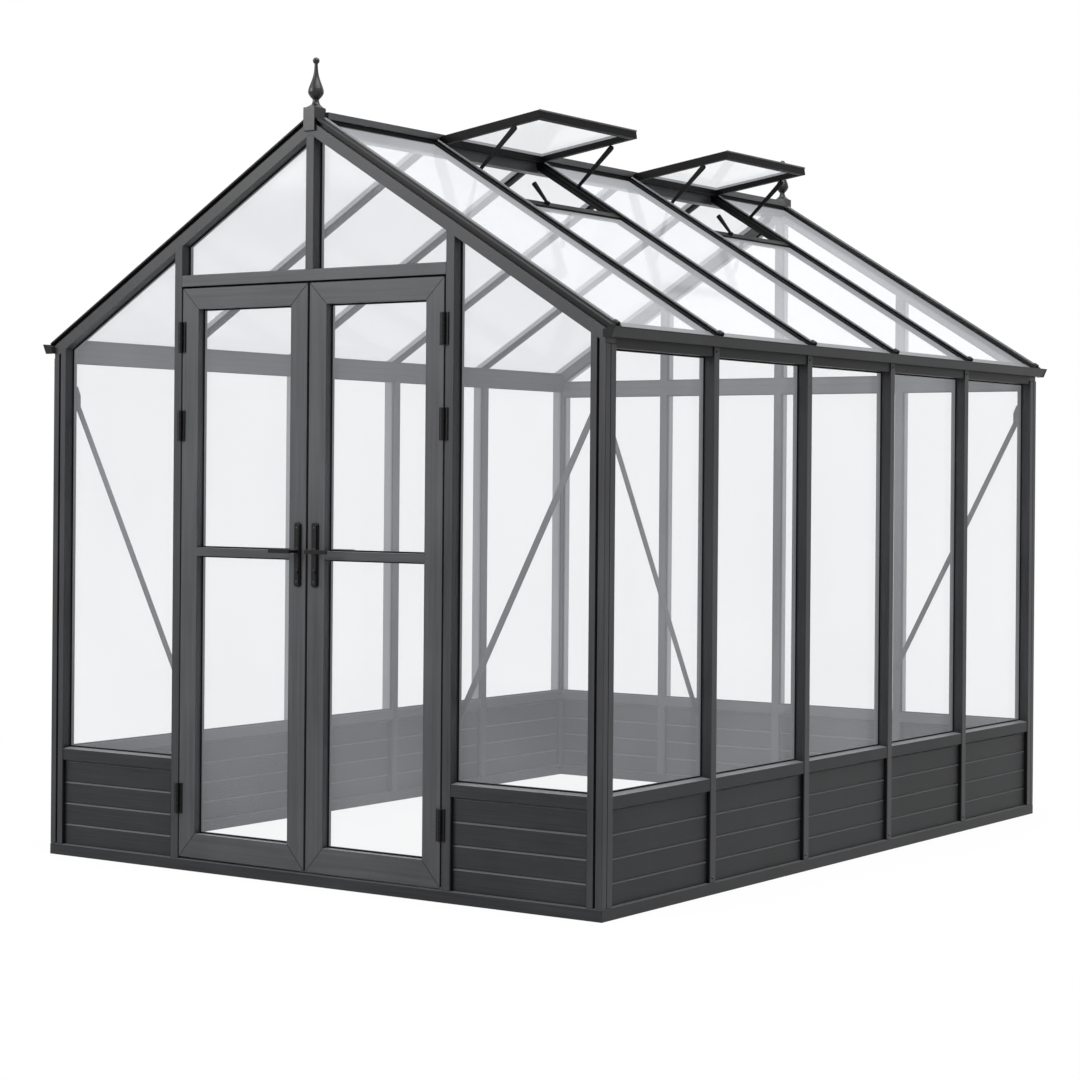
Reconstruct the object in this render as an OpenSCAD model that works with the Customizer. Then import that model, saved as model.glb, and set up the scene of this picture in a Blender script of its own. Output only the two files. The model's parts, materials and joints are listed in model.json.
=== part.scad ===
// Glass greenhouse: slotted aluminium frame, boarded base, glazed walls and roof, double doors, ridge vents.
// Front wall faces -Y, the ridge runs along Y and the ground is at Z = 0.

/* [House] */
// Width over the corner posts
house_w = 2480; // [2300:10:3200]
// Length over the corner posts
house_l = 3400; // [2400:10:6000]
// Height of the eaves, up to the underside of the eave beams
eave_h = 1850; // [1700:10:2200]
// Pitch of the roof in degrees
roof_pitch = 31.5; // [27:0.5:36]
// Rise of the rafters above the eave beam underside, at the side walls
roof_lift = 12; // [4:1:20]
// Bays along each side wall
side_bays = 5; // [4:1:8]

/* [Frame] */
// Depth of posts, rails and beams through the wall
frame_d = 60; // [54:1:80]
// Width of the posts between the bays
post_w = 36; // [30:1:50]
// Height of the base rail
base_rail_h = 42; // [30:1:80]
// Height of the dado rail above the base panels
dado_h = 46; // [36:1:70]
// Setback of the dado rail behind the posts
dado_set = 2; // [1:1:8]
// Setback of the eave beams, rafter ends and gutters behind the posts
eave_set = 4; // [2:1:8]
// Depth of a gable rafter, square to its slope
rafter_d = 40; // [34:1:60]
// Height of the door lintel
lintel_h = 40; // [30:1:60]
// Drop from the rafter to the lintel at the door posts
lintel_drop = 85; // [40:1:200]
// Height of the tie rail across the back gable
tie_h = 68; // [50:1:100]
// Gap from the tie rail to the rafter at the corner posts
tie_gap = 6; // [2:1:20]
// Width of the corner strip of a corner post
corner_w = 26; // [20:1:30]
// Width of the shadow gap in a corner post
gap_w = 10; // [5:1:12]
// Depth of the shadow gap in a corner post
gap_d = 16; // [6:1:24]
// Width of the grooves in rails and beams
groove_w = 4; // [2:0.5:8]
// Depth of the grooves in rails and beams
groove_d = 2.5; // [1:0.5:5]
// Chamfer along the outer edges of posts and rails
edge = 1.5; // [0.5:0.5:3]
// Clearance between pieces that meet on a slope
fit_clear = 0.1; // [0.05:0.05:0.3]

/* [Glazing] */
// Thickness of the glass
glass_t = 4; // [3:0.5:6]
// Depth of the glazing slots
slot_depth = 9; // [6:0.5:12]
// Clearance on each face of the glass in its slot
slot_clear = 0.3; // [0.2:0.1:0.5]
// Clearance from the edge of the glass to the bottom of its slot
edge_gap = 1; // [0.5:0.5:3]
// Glass mid plane behind the outer face of the side walls
side_glass_set = 44; // [16:1:44]
// Glass mid plane behind the outer face of the gable walls
gable_glass_set = 44; // [14:1:48]

/* [Base panels] */
// Boards in the height of a base panel
board_n = 4; // [2:1:6]
// Face height of one board
board_h = 79; // [60:1:120]
// Thickness of a base panel
panel_t = 24; // [18:1:32]
// Setback of the panel face behind the posts
panel_set = 14; // [6:1:24]
// Width of the groove between boards
board_groove_w = 9; // [5:1:15]
// Depth of the groove between boards
board_groove_d = 5; // [3:0.5:7]

/* [Roof] */
// Width of a roof bar
bar_w = 30; // [28:1:46]
// Width of the web under a roof bar
web_w = 18; // [10:1:20]
// Depth of the web under a roof bar
web_d = 14; // [10:1:24]
// Thickness of the flange that the roof glass lies on
seat_t = 3; // [2:0.5:5]
// Thickness of the cap over the roof glass
cap_t = 8; // [5:0.5:12]
// Width of the rib on the cap
rib_w = 12; // [8:1:13]
// Height of the rib on the cap
rib_t = 6; // [4:0.5:12]
// Reach of the roof bars past the side walls
bar_over = 20; // [6:1:20]
// Reach of the roof glass past the side walls
glass_over = 24; // [10:1:24]
// Depth of the shadow gap under the cap of a verge bar
verge_recess = 14; // [4:1:20]
// Height of the shadow gap under the cap of a verge bar
verge_gap_h = 15; // [6:1:16]
// Width of the ridge beam and of the finial blocks
ridge_w = 50; // [40:1:70]
// Depth of the ridge beam under the top of its cap
ridge_d = 78; // [60:1:90]
// Thickness of the ridge cap
ridge_cap_t = 24; // [8:1:30]
// Reach of the ridge cap past each side of the beam
ridge_cap_over = 8; // [4:1:12]

/* [Gutters] */
// Reach of the gutter from the wall
gutter_w = 45; // [38:1:70]
// Width of the gutter floor
gutter_floor = 30; // [24:1:36]
// Height of the gutter
gutter_h = 32; // [28:1:50]
// Height of the gutter above the eave beam underside
gutter_rise = 33; // [26:1:36]
// Sheet thickness of the gutter
gutter_t = 3; // [2:0.5:4]
// Reach of the gutter past the gables
gutter_end = 15; // [5:1:40]

/* [Vents] */
// Length of a vent from its hinge
vent_len = 450; // [380:10:600]
// Opening angle of the vents
vent_open = 40; // [36:1:50]
// Width of the vent rails
vent_rail_w = 22; // [20:1:46]
// Thickness of the vent rails
vent_rail_t = 32; // [24:1:40]
// Gap from the middle of a roof bar to the side of a vent
vent_gap = 8.5; // [8:0.5:12]
// Radius of the hinge bead along the top of a vent
vent_bead_r = 7; // [6:0.5:9]
// Running clearance of the vent bead beside the ridge cap
vent_clear = 0.3; // [0.2:0.1:0.6]
// Width of the sill under a vent
sill_w = 36; // [28:1:50]
// Thickness of a vent stay
stay_t = 8; // [5:0.5:8.5]
// Width of a vent stay at its foot
stay_foot_w = 11; // [7:0.5:12]
// Width of a vent stay at its head
stay_head_w = 20; // [10:0.5:20]
// Distance of a stay foot from the ridge line
stay_foot = 220; // [150:5:260]
// Distance of a stay head from the vent hinge
stay_head = 330; // [200:5:340]
// Length of the peg arm on a vent sill
peg_l = 95; // [60:5:120]
// Lean of the peg arm towards the ridge in degrees
peg_lean = 70; // [50:1:75]

/* [Doors] */
// Clear width between the door posts
door_w = 1190; // [1000:10:1260]
// Depth of the door frames
door_d = 48; // [40:1:54]
// Width of the door stiles and top rails
stile_w = 75; // [60:1:100]
// Height of the bottom rail of a door
foot_h = 86; // [60:1:160]
// Height of the glazing bar across a door
midbar_h = 30; // [24:1:50]
// Underside of the glazing bar above the ground
midbar_z = 1138; // [800:1:1300]
// Glass mid plane behind the face of a door
door_glass_set = 34; // [14:1:36]
// Gap between a door and its post
hinge_gap = 6; // [5:0.5:10]
// Gap between the two doors
meet_gap = 10; // [9:0.5:14]
// Gap above and below a door
door_gap = 8; // [5:0.5:15]

// Thickness of the stop strip behind the door heads
stop_t = 7; // [4:0.5:7]
// Drop of the stop strip below the lintel
stop_h = 20; // [14:1:30]

/* [Hinges] */
// Diameter of a hinge pin
pin_d = 7; // [5:0.5:8]
// Diameter of a hinge knuckle
knuckle_d = 14; // [12:0.5:16]
// Running clearance around a hinge pin
pin_clear = 0.1; // [0.05:0.05:0.2]
// Gap between hinge knuckles
knuckle_gap = 0.6; // [0.3:0.1:1]
// Height of a hinge
hinge_h = 110; // [80:1:140]
// Width of a hinge leaf
leaf_w = 10; // [8:1:24]
// Thickness of a hinge leaf
leaf_t = 4; // [3:0.5:5]
// Hinge pin in front of the door face
pin_out = 8; // [7:0.5:9]
// Middle of the upper hinge below the top of the door
hinge_upper = 175; // [70:5:200]
// Middle of the second hinge below the top of the door
hinge_second = 495; // [300:5:600]
// Middle of the lower hinge above the foot of the door
hinge_lower = 210; // [80:5:400]

/* [Handles] */
// Height of the lever spindle above the ground
handle_z = 1166; // [900:1:1250]
// Distance of the spindle from the meeting edge
handle_inset = 34; // [28:1:40]
// Width of a handle plate
plate_w = 28; // [22:1:36]
// Height of a handle plate
plate_h = 225; // [160:1:280]
// Height of the plate above the spindle
plate_rise = 100; // [60:1:130]
// Thickness of a handle plate
plate_t = 10; // [6:1:14]
// Cut corners of a handle plate
plate_corner = 6; // [3:1:8]
// Length of a lever
lever_l = 90; // [80:1:140]
// Diameter of a lever neck
lever_d = 14; // [10:1:18]
// Height of a lever
lever_h = 15; // [8:1:16]
// Diameter of a lever tip
tip_d = 7; // [5:1:9]
// Distance of a lever from its plate
neck_l = 42; // [30:1:60]
// Diameter of the lever spindle
spindle_d = 8; // [7:0.5:10]
// Running clearance around the spindle and behind the levers
lever_clear = 0.1; // [0.05:0.05:0.3]

/* [Braces and finials] */
// Width of a diagonal brace
brace_w = 22; // [20:1:40]
// Thickness of a diagonal brace
brace_t = 4; // [3:0.5:6]
// Height of the upper end of a brace
brace_high = 1690; // [1400:10:1700]
// Height of the lower end of a brace
brace_low = 600; // [480:10:900]
// Distance of a brace end inside the face of the corner post
brace_in = 2; // [2:0.5:8]
// Width of the bracket that carries the braces at a corner post
bracket_w = 30; // [26:1:34]
// Lap of the bracket on the corner post
bracket_lap = 13; // [8:1:13]
// Height of the bracket above a brace end
bracket_h = 70; // [40:1:90]
// Height of a finial block
finial_block_h = 62; // [50:1:100]
// Reach of a finial block in front of the gable
finial_out = 8; // [4:1:12]
// Lap of a finial block down over the rafters
finial_lap = 20; // [16:1:30]
// Height of the turned finial above its block
finial_h = 178; // [120:1:260]
// Diameter of the finial bulb
bulb_d = 56; // [40:1:70]
// Diameter of the ball on top of a finial
ball_d = 24; // [16:1:32]
// Diameter of the finial neck below the bulb
finial_neck_d = 22; // [14:1:30]
// Diameter of the stem below the ball
stem_d = 12; // [8:1:16]

/* [Hidden] */
$fn = 48;
eps = 1;
slot = glass_t + 2 * slot_clear;
bite = slot_depth - edge_gap;
half_w = house_w / 2;
front_reach = plate_t + neck_l + lever_d / 2;
front_y = -house_l / 2 + (front_reach - gutter_end) / 2;
back_y = front_y + house_l;
inner_x = half_w - frame_d;
side_from = front_y + frame_d;
side_to = back_y - frame_d;

// Side posts, back posts and the clear spans between them
bay = (house_l - frame_d) / side_bays;
function post_y(i) = front_y + frame_d / 2 + i * bay;
side_posts = [for (i = [1:side_bays - 1]) post_y(i)];
door_half = door_w / 2;
door_post_x = door_half + post_w / 2;
back_posts = [-door_post_x, 0, door_post_x];
function spans(posts, lo, hi) = [
    for (i = [0:len(posts)])
        [i == 0 ? lo : posts[i - 1] + post_w / 2, i == len(posts) ? hi : posts[i] - post_w / 2]
];
side_spans = spans(side_posts, side_from, side_to);
back_spans = spans(back_posts, -inner_x, inner_x);
front_spans = [[-inner_x, -door_half - post_w], [door_half + post_w, inner_x]];

// Heights
panel_h = board_n * board_h;
dado_z = base_rail_h + panel_h;
dado_top = dado_z + dado_h;
roof_z = eave_h + roof_lift;
function under_z(x) = roof_z + (half_w - abs(x)) * tan(roof_pitch);
ridge_under = under_z(0);
rafter_rise = rafter_d / cos(roof_pitch);
pane_lift = bite / cos(roof_pitch);
lintel_top = under_z(door_half + post_w) - lintel_drop;
lintel_z = lintel_top - lintel_h;
tie_top = under_z(inner_x) - tie_gap;
tie_z = tie_top - tie_h;

// Roof layers, measured square to the slope from the underside of the rafters
glass_n = rafter_d + seat_t;
cap_n = glass_n + slot;
flange_n = cap_n + cap_t;
bar_n = flange_n + rib_t;
function slope_at(x, n) = (half_w - x + n * sin(roof_pitch)) / cos(roof_pitch);
finial_z = under_z(ridge_w / 2) + rafter_rise;
ridge_top = under_z(ridge_w / 2) + bar_n / cos(roof_pitch) + ridge_cap_t;
roof_len = slope_at(0, bar_n) + 2 * frame_d;

// Vents over every second bay of the right slope
vent_bays = [for (b = [2:2:side_bays]) b];
vent_tilt = vent_open - roof_pitch;
vent_x = ridge_w / 2 + ridge_cap_over + vent_clear + vent_bead_r;
vent_z = ridge_top - ridge_cap_t + cap_t / 2;
vent_low = 10 - vent_rail_t;
vent_glass_w = vent_low + vent_rail_t * 3 / 4;
sill_s = slope_at(vent_x, flange_n) - vent_len;
sill_n = rafter_d - 8;
stay_side = (bar_w + rib_w) / 4;

// Gutter floor, and the ends of the eave beam section
gutter_z = eave_h + gutter_rise;
eave_x = half_w - eave_set;

// Doors
door_z0 = base_rail_h + door_gap;
door_z1 = lintel_z - door_gap;
door_a0 = -door_half + hinge_gap;
door_a1 = -meet_gap / 2;
pin_a = -door_half + hinge_gap / 2;
hinge_zs = [door_z1 - hinge_upper, door_z1 - hinge_second, door_z0 + hinge_lower];
handle_a = door_a1 - handle_inset;

frame_grey = [0.30, 0.31, 0.32];
panel_grey = [0.24, 0.25, 0.26];
glass_tint = [0.85, 0.90, 0.92, 0.35];
fitting_black = [0.08, 0.08, 0.09];

// Wall frames: local X along the wall, local Y inwards from its outer face
module on_front() { translate([0, front_y, 0]) children(); }
module on_back() { translate([0, back_y, 0]) mirror([0, 1, 0]) children(); }
module on_right() { translate([half_w, 0, 0]) rotate([0, 0, 90]) children(); }
module on_left() { mirror([1, 0, 0]) on_right() children(); }
module both_sides() { children(); mirror([1, 0, 0]) children(); }

// Right roof slope: local X along the house, local Y up the slope, local Z square to it
module on_slope() { translate([half_w, 0, roof_z]) rotate([0, roof_pitch, 0]) rotate([0, 0, 90]) children(); }

// Section of a wall member, in inward depth and height, carried along a span of the wall
module along_wall(span) {
    translate([span[0], 0, 0]) rotate([90, 0, 90]) linear_extrude(span[1] - span[0]) children();
}

// Outline in the plane of a wall, given a thickness about a depth
module through_wall(depth, thick) {
    translate([0, depth + thick / 2, 0]) rotate([90, 0, 0]) linear_extrude(thick) children();
}

module box(lo, hi) { translate(lo) cube(hi - lo); }

// Everything below the rafters of a gable
module under_rafters() {
    through_wall(frame_d / 2, frame_d + 2 * eps)
        translate([0, -fit_clear])
            polygon([[-half_w, 0], [half_w, 0], [half_w, roof_z], [0, ridge_under], [-half_w, roof_z]]);
}

// Post section with a glazing slot in each listed side
module post_section(glass_set, sides) {
    half = post_w / 2;
    difference() {
        polygon([
            [-half, edge], [edge - half, 0], [half - edge, 0], [half, edge], [half, frame_d], [-half, frame_d]
        ]);
        for (side = sides)
            mirror([side < 0 ? 1 : 0, 0]) translate([half - slot_depth, glass_set - slot / 2])
                square([slot_depth + eps, slot]);
    }
}

module post(a, z0, z1, glass_set, sides = [-1, 1]) {
    translate([a, 0, z0]) linear_extrude(z1 - z0) post_section(glass_set, sides);
}

// Corner post at the right end of a gable: slotted for both walls, with a shadow gap beside its corner strip
module corner_post() {
    gap_x = half_w - corner_w - gap_w;
    intersection() {
        translate([0, 0, base_rail_h]) linear_extrude(under_z(inner_x)) difference() {
            polygon([
                [inner_x, 0], [half_w - edge, 0], [half_w, edge], [half_w, frame_d], [inner_x, frame_d]
            ]);
            translate([inner_x - eps, gable_glass_set - slot / 2]) square([slot_depth + eps, slot]);
            translate([half_w - side_glass_set - slot / 2, frame_d - slot_depth])
                square([slot, slot_depth + eps]);
            translate([gap_x, -eps]) square([gap_w, gap_d + eps]);
            translate([half_w - groove_d, corner_w]) square([groove_d + eps, groove_w]);
        }
        under_rafters();
    }
}

// Dado rail with a weathered front slope and a slot for the glass
module dado(span, glass_set) {
    fall = 3 * edge;
    along_wall(span) difference() {
        polygon([
            [dado_set, dado_z], [frame_d, dado_z], [frame_d, dado_top], [glass_set - slot, dado_top],
            [dado_set, dado_top - fall]
        ]);
        translate([glass_set - slot / 2, dado_top - slot_depth]) square([slot, slot_depth + eps]);
    }
}

// Base panel: boards with a bevelled upper edge and a groove above it, on both faces
module panel(span) {
    lip = board_h - board_groove_w;
    bevel = lip + board_groove_d;
    board = [for (k = [0:board_n - 1], p = [[0, 0], [0, lip], [1, bevel], [1, board_h]])
        [p[0] * board_groove_d, base_rail_h + k * board_h + p[1]]];
    last = len(board) - 1;
    outer = [for (p = board) [panel_set + p[0], p[1]]];
    inner = [for (i = [0:last]) [panel_set + panel_t - board[last - i][0], board[last - i][1]]];
    along_wall(span) polygon(concat(outer, inner));
}

// Base rail, chamfered above and mitred at both ends
module base_rail(from, to) {
    intersection() {
        along_wall([from, to])
            polygon([
                [0, 0], [frame_d, 0], [frame_d, base_rail_h], [2 * edge, base_rail_h],
                [0, base_rail_h - 2 * edge]
            ]);
        linear_extrude(base_rail_h)
            polygon([[from, 0], [to, 0], [to - frame_d, frame_d], [from + frame_d, frame_d]]);
    }
}

// Rectangular pane of a span, seated in the slots around it
module pane(span, z0, z1, depth) {
    through_wall(depth, glass_t)
        polygon([[span[0] - bite, z0], [span[1] + bite, z0], [span[1] + bite, z1], [span[0] - bite, z1]]);
}

// Pane whose upper edge follows the rafter
module gable_pane(a0, a1, z0) {
    through_wall(gable_glass_set, glass_t)
        polygon([[a0, z0], [a1, z0], [a1, under_z(a1) + pane_lift], [a0, under_z(a0) + pane_lift]]);
}

module gable_base_rails() {
    color(frame_grey) {
        on_front() base_rail(-half_w, half_w);
        on_back() base_rail(-half_w, half_w);
    }
}

module side_base_rails() { color(frame_grey) both_sides() on_right() base_rail(front_y, back_y); }

module corner_posts() {
    color(frame_grey) both_sides() {
        on_front() corner_post();
        on_back() corner_post();
    }
}

// Side posts, each with a cover strip that runs on over the eave beam to the gutter
module side_wall_posts() {
    color(frame_grey) both_sides() on_right() for (a = side_posts) {
        post(a, base_rail_h, eave_h, side_glass_set);
        box([a - post_w / 2 + edge, 0, eave_h - eps], [a + post_w / 2 - edge, eave_set, gutter_z]);
    }
}

// Door posts run up to the rafters, with an inner slot only above the lintel
module door_posts() {
    color(frame_grey) both_sides() on_front() difference() {
        intersection() {
            post(door_post_x, base_rail_h, ridge_under, gable_glass_set, [1]);
            under_rafters();
        }
        box([door_half - eps, gable_glass_set - slot / 2, lintel_top - slot_depth],
            [door_half + slot_depth, gable_glass_set + slot / 2, ridge_under]);
    }
}

// Back posts stand below and above the tie rail
module back_wall_posts() {
    color(frame_grey) on_back() for (a = back_posts) {
        post(a, base_rail_h, tie_z, gable_glass_set);
        intersection() {
            post(a, tie_top, ridge_under, gable_glass_set);
            under_rafters();
        }
    }
}

module gable_dado_rails() {
    color(frame_grey) {
        on_front() for (span = front_spans) dado(span, gable_glass_set);
        on_back() for (span = back_spans) dado(span, gable_glass_set);
    }
}

module side_dado_rails() {
    color(frame_grey) both_sides() on_right() for (span = side_spans)
        dado(span, side_glass_set);
}

module gable_panels() {
    color(panel_grey) {
        on_front() for (span = front_spans) panel(span);
        on_back() for (span = back_spans) panel(span);
    }
}

module side_panels() {
    color(panel_grey) both_sides() on_right() for (span = side_spans)
        panel(span);
}

// Door lintel with a stop strip behind the door heads and a slot for the gable glass
module door_lintel() {
    color(frame_grey) on_front() along_wall([-door_half, door_half]) difference() {
        polygon([
            [0, lintel_z], [frame_d - stop_t, lintel_z], [frame_d - stop_t, lintel_z - stop_h],
            [frame_d, lintel_z - stop_h], [frame_d, lintel_top], [edge, lintel_top], [0, lintel_top - edge]
        ]);
        translate([gable_glass_set - slot / 2, lintel_top - slot_depth]) square([slot, slot_depth + eps]);
    }
}

module gable_mullion() {
    color(frame_grey) on_front() intersection() {
        post(0, lintel_top, ridge_under, gable_glass_set);
        under_rafters();
    }
}

module back_tie_rail() {
    color(frame_grey) on_back() along_wall([-inner_x, inner_x]) difference() {
        translate([0, tie_z]) square([frame_d, tie_h]);
        for (z = [tie_z - eps, tie_top - slot_depth])
            translate([gable_glass_set - slot / 2, z]) square([slot, slot_depth + eps]);
        for (v = [-eps, frame_d - groove_d])
            translate([v, tie_z + tie_h / 2]) square([groove_d + eps, groove_w]);
    }
}

// Eave beam with a sloped top, a slot for the wall glass and a banded inner face
module eave_beam() {
    rebate = frame_d / 4;
    back = frame_d - rebate;
    top = under_z(inner_x) + rafter_rise / 2;
    along_wall([side_from, side_to]) difference() {
        polygon([
            [eave_set, eave_h], [frame_d, eave_h], [frame_d, top], [back, top],
            [back, under_z(half_w - back) + rafter_rise], [eave_set, under_z(eave_x) + rafter_rise]
        ]);
        translate([side_glass_set - slot / 2, eave_h - eps]) square([slot, slot_depth + eps]);
        for (third = [1, 2])
            translate([frame_d - groove_d, eave_h + third * (top - eave_h) / 3])
                square([groove_d + eps, groove_w]);
    }
}

module eave_beams() { color(frame_grey) both_sides() on_right() eave_beam(); }

// Gutter: open trough with a lipped outer wall and closed ends
module gutter() {
    back_h = roof_lift + rafter_rise - gutter_rise - gutter_t;
    outer = [[0, 0], [-gutter_floor, 0], [-gutter_w, gutter_h], [gutter_t - gutter_w, gutter_h]];
    trough = [
        [gutter_t - gutter_floor, gutter_t], [-gutter_t, gutter_t], [-gutter_t, back_h], [0, back_h]
    ];
    cap = [[0, 0], [-gutter_floor, 0], [-gutter_w, gutter_h], [0, back_h]];
    from = front_y - gutter_end;
    to = back_y + gutter_end;
    translate([0, eave_set, gutter_z]) {
        along_wall([from, to]) polygon(concat(outer, trough));
        along_wall([from, from + gutter_t]) polygon(cap);
        along_wall([to - gutter_t, to]) polygon(cap);
    }
}

module gutters() { color(frame_grey) both_sides() on_right() gutter(); }

// Right rafter of a gable, slotted underneath and seated for the finial block
module rafter() {
    slot_x = inner_x + slot_depth;
    slot_lift = slot_depth / cos(roof_pitch);
    difference() {
        through_wall(frame_d / 2, frame_d)
            polygon([
                [0, ridge_under], [eave_x, under_z(eave_x)], [eave_x, under_z(eave_x) + rafter_rise],
                [0, ridge_under + rafter_rise]
            ]);
        through_wall(gable_glass_set, slot)
            polygon([
                [-eps, under_z(-eps) - eps], [slot_x, under_z(slot_x) - eps],
                [slot_x, under_z(slot_x) + slot_lift], [-eps, ridge_under + slot_lift]
            ]);
        box([-eps, -eps, finial_z], [ridge_w / 2, frame_d + eps, ridge_top]);
    }
}

module right_rafters() {
    color(frame_grey) {
        on_front() rafter();
        on_back() rafter();
    }
}

module left_rafters() { color(frame_grey) mirror([1, 0, 0]) right_rafters(); }

module ridge_beam() {
    color(frame_grey) translate([0, side_to, 0]) rotate([90, 0, 0]) linear_extrude(side_to - side_from) {
        translate([-ridge_w / 2, ridge_top - ridge_d]) square([ridge_w, ridge_d]);
        translate([-ridge_w / 2 - ridge_cap_over, ridge_top - ridge_cap_t])
            square([ridge_w + 2 * ridge_cap_over, ridge_cap_t]);
    }
}

// Roof bar section in width and height above the rafter underside
module bar_section() {
    translate([-web_w / 2, rafter_d - web_d]) square([web_w, web_d]);
    translate([-bar_w / 2, rafter_d]) square([bar_w, seat_t]);
    translate([slot_depth - bar_w / 2, glass_n]) square([bar_w - 2 * slot_depth, slot]);
    translate([-bar_w / 2, cap_n]) square([bar_w, cap_t]);
    translate([-rib_w / 2, flange_n]) square([rib_w, rib_t]);
}

// Section carried up the right slope and cut plumb at the ridge and over the gutter
module up_slope(y) {
    intersection() {
        on_slope() translate([y, roof_len, 0]) rotate([90, 0, 0]) linear_extrude(roof_len + frame_d) children();
        box([ridge_w / 2, front_y - eps, 0], [half_w + bar_over, back_y + eps, ridge_top]);
    }
}

// Roof bars between the bays, with their webs stopped at the inner face of the eave beam
module roof_bars() {
    past = half_w + bar_over + eps;
    function cut(x) = under_z(x) + rafter_rise + fit_clear;
    color(frame_grey) both_sides() difference() {
        for (y = side_posts)
            up_slope(y) bar_section();
        translate([0, front_y, 0]) through_wall(house_l / 2, house_l)
            polygon([
                [inner_x - fit_clear, eave_h], [past, eave_h], [past, cut(past)],
                [inner_x - fit_clear, cut(inner_x)]
            ]);
    }
}

// Verge bar on a gable rafter: slotted on its inner side, with a shadow gap under its outer cap
module verge_section() {
    difference() {
        translate([0, rafter_d + fit_clear]) square([frame_d, bar_n - rafter_d - fit_clear]);
        translate([frame_d - slot_depth, glass_n]) square([slot_depth + eps, slot]);
        translate([-eps, rafter_d]) square([verge_recess + eps, verge_gap_h]);
    }
}

module verge_bars() {
    color(frame_grey) both_sides() {
        up_slope(front_y) verge_section();
        up_slope(back_y) mirror([1, 0]) verge_section();
    }
}

module front_glass() {
    color(glass_tint) both_sides() on_front() {
        gable_pane(door_half + post_w - bite, inner_x + bite, dado_top - bite);
        gable_pane(post_w / 2 - bite, door_half + bite, lintel_top - bite);
    }
}

module back_glass() {
    color(glass_tint) on_back() for (span = back_spans) {
        pane(span, dado_top - bite, tie_z + bite, gable_glass_set);
        gable_pane(max(span[0] - bite, -inner_x), min(span[1] + bite, inner_x), tie_top - bite);
    }
}

module side_glass() {
    for (span = side_spans)
        pane(span, dado_top - bite, eave_h + bite, side_glass_set);
}

module left_glass() { color(glass_tint) on_left() side_glass(); }

module right_glass() { color(glass_tint) on_right() side_glass(); }

// Roof pane of a bay, from over the gutter up to a given distance along the slope
function bay_from(b) = b == 1 ? side_from - bite : post_y(b - 1) + bar_w / 2 - bite;
function bay_to(b) = b == side_bays ? side_to + bite : post_y(b) - bar_w / 2 + bite;
pane_foot = slope_at(half_w + glass_over, glass_n);
pane_head = slope_at(ridge_w / 2 + edge_gap, glass_n);
module roof_pane(b, head) {
    low = glass_n + slot_clear;
    on_slope() box([bay_from(b), pane_foot, low], [bay_to(b), head, low + glass_t]);
}

module left_roof_glass() {
    color(glass_tint) mirror([1, 0, 0]) for (b = [1:side_bays])
        roof_pane(b, pane_head);
}

module right_roof_glass() {
    color(glass_tint) for (b = [1:side_bays])
        roof_pane(b, len(search(b, vent_bays)) > 0 ? sill_s + bite : pane_head);
}

// Sill between two roof bars, holding the top edge of the pane below a vent
module vent_sills() {
    color(frame_grey) for (b = vent_bays)
        on_slope() difference() {
            box(
                [post_y(b - 1) + bar_w / 2, sill_s, sill_n],
                [post_y(b) - bar_w / 2, sill_s + sill_w, flange_n]
            );
            box([post_y(b - 1), sill_s - eps, glass_n], [post_y(b), sill_s + slot_depth, glass_n + slot]);
        }
}

// Open vent: local X along its hinge, local Y out from the hinge, local Z up
module on_vent() {
    translate([vent_x, 0, vent_z]) rotate([0, -vent_tilt, 0]) rotate([0, 0, -90]) mirror([1, 0, 0]) children();
}

module vent_frame(y0, y1) {
    hole = vent_rail_w;
    on_vent() difference() {
        union() {
            box([y0, vent_clear, vent_low], [y1, vent_len, vent_low + vent_rail_t]);
            translate([y0, 0, 0]) rotate([0, 90, 0]) cylinder(r = vent_bead_r, h = y1 - y0);
        }
        box([y0 + hole, hole, vent_low - eps], [y1 - hole, vent_len - hole, vent_low + vent_rail_t + eps]);
        box([y0 + hole - slot_depth, hole - slot_depth, vent_glass_w - slot / 2],
            [y1 - hole + slot_depth, vent_len - hole + slot_depth, vent_glass_w + slot / 2]);
    }
}

module vent_frames() {
    color(frame_grey) for (b = vent_bays)
        vent_frame(post_y(b - 1) + vent_gap, post_y(b) - vent_gap);
}

module vent_glass() {
    inset = vent_rail_w - bite;
    color(glass_tint) for (b = vent_bays)
        on_vent() box([post_y(b - 1) + vent_gap + inset, inset, vent_glass_w - glass_t / 2],
            [post_y(b) - vent_gap - inset, vent_len - inset, vent_glass_w + glass_t / 2]);
}

// Flat tapered stay from the flange of a roof bar up to the underside of a vent rail
module vent_stay(y) {
    foot_n = flange_n + stay_foot_w / 2 + slot_clear;
    head_w = vent_low - stay_head_w / 2 - slot_clear;
    s = slope_at(stay_foot, foot_n);
    foot = [stay_foot, roof_z + s * sin(roof_pitch) + foot_n * cos(roof_pitch)];
    head = [
        vent_x + stay_head * cos(vent_tilt) - head_w * sin(vent_tilt),
        vent_z + stay_head * sin(vent_tilt) + head_w * cos(vent_tilt)
    ];
    run = head - foot;
    translate([foot[0], y, foot[1]]) rotate([0, atan2(run[0], run[1]), 0])
        rotate([90, 0, 0]) linear_extrude(stay_t, center = true) {
            circle(d = stay_foot_w);
            polygon([
                [-stay_foot_w / 2, 0], [stay_foot_w / 2, 0],
                [stay_head_w / 2, norm(run)], [-stay_head_w / 2, norm(run)]
            ]);
            translate([0, norm(run)]) circle(d = stay_head_w);
        }
}

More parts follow.
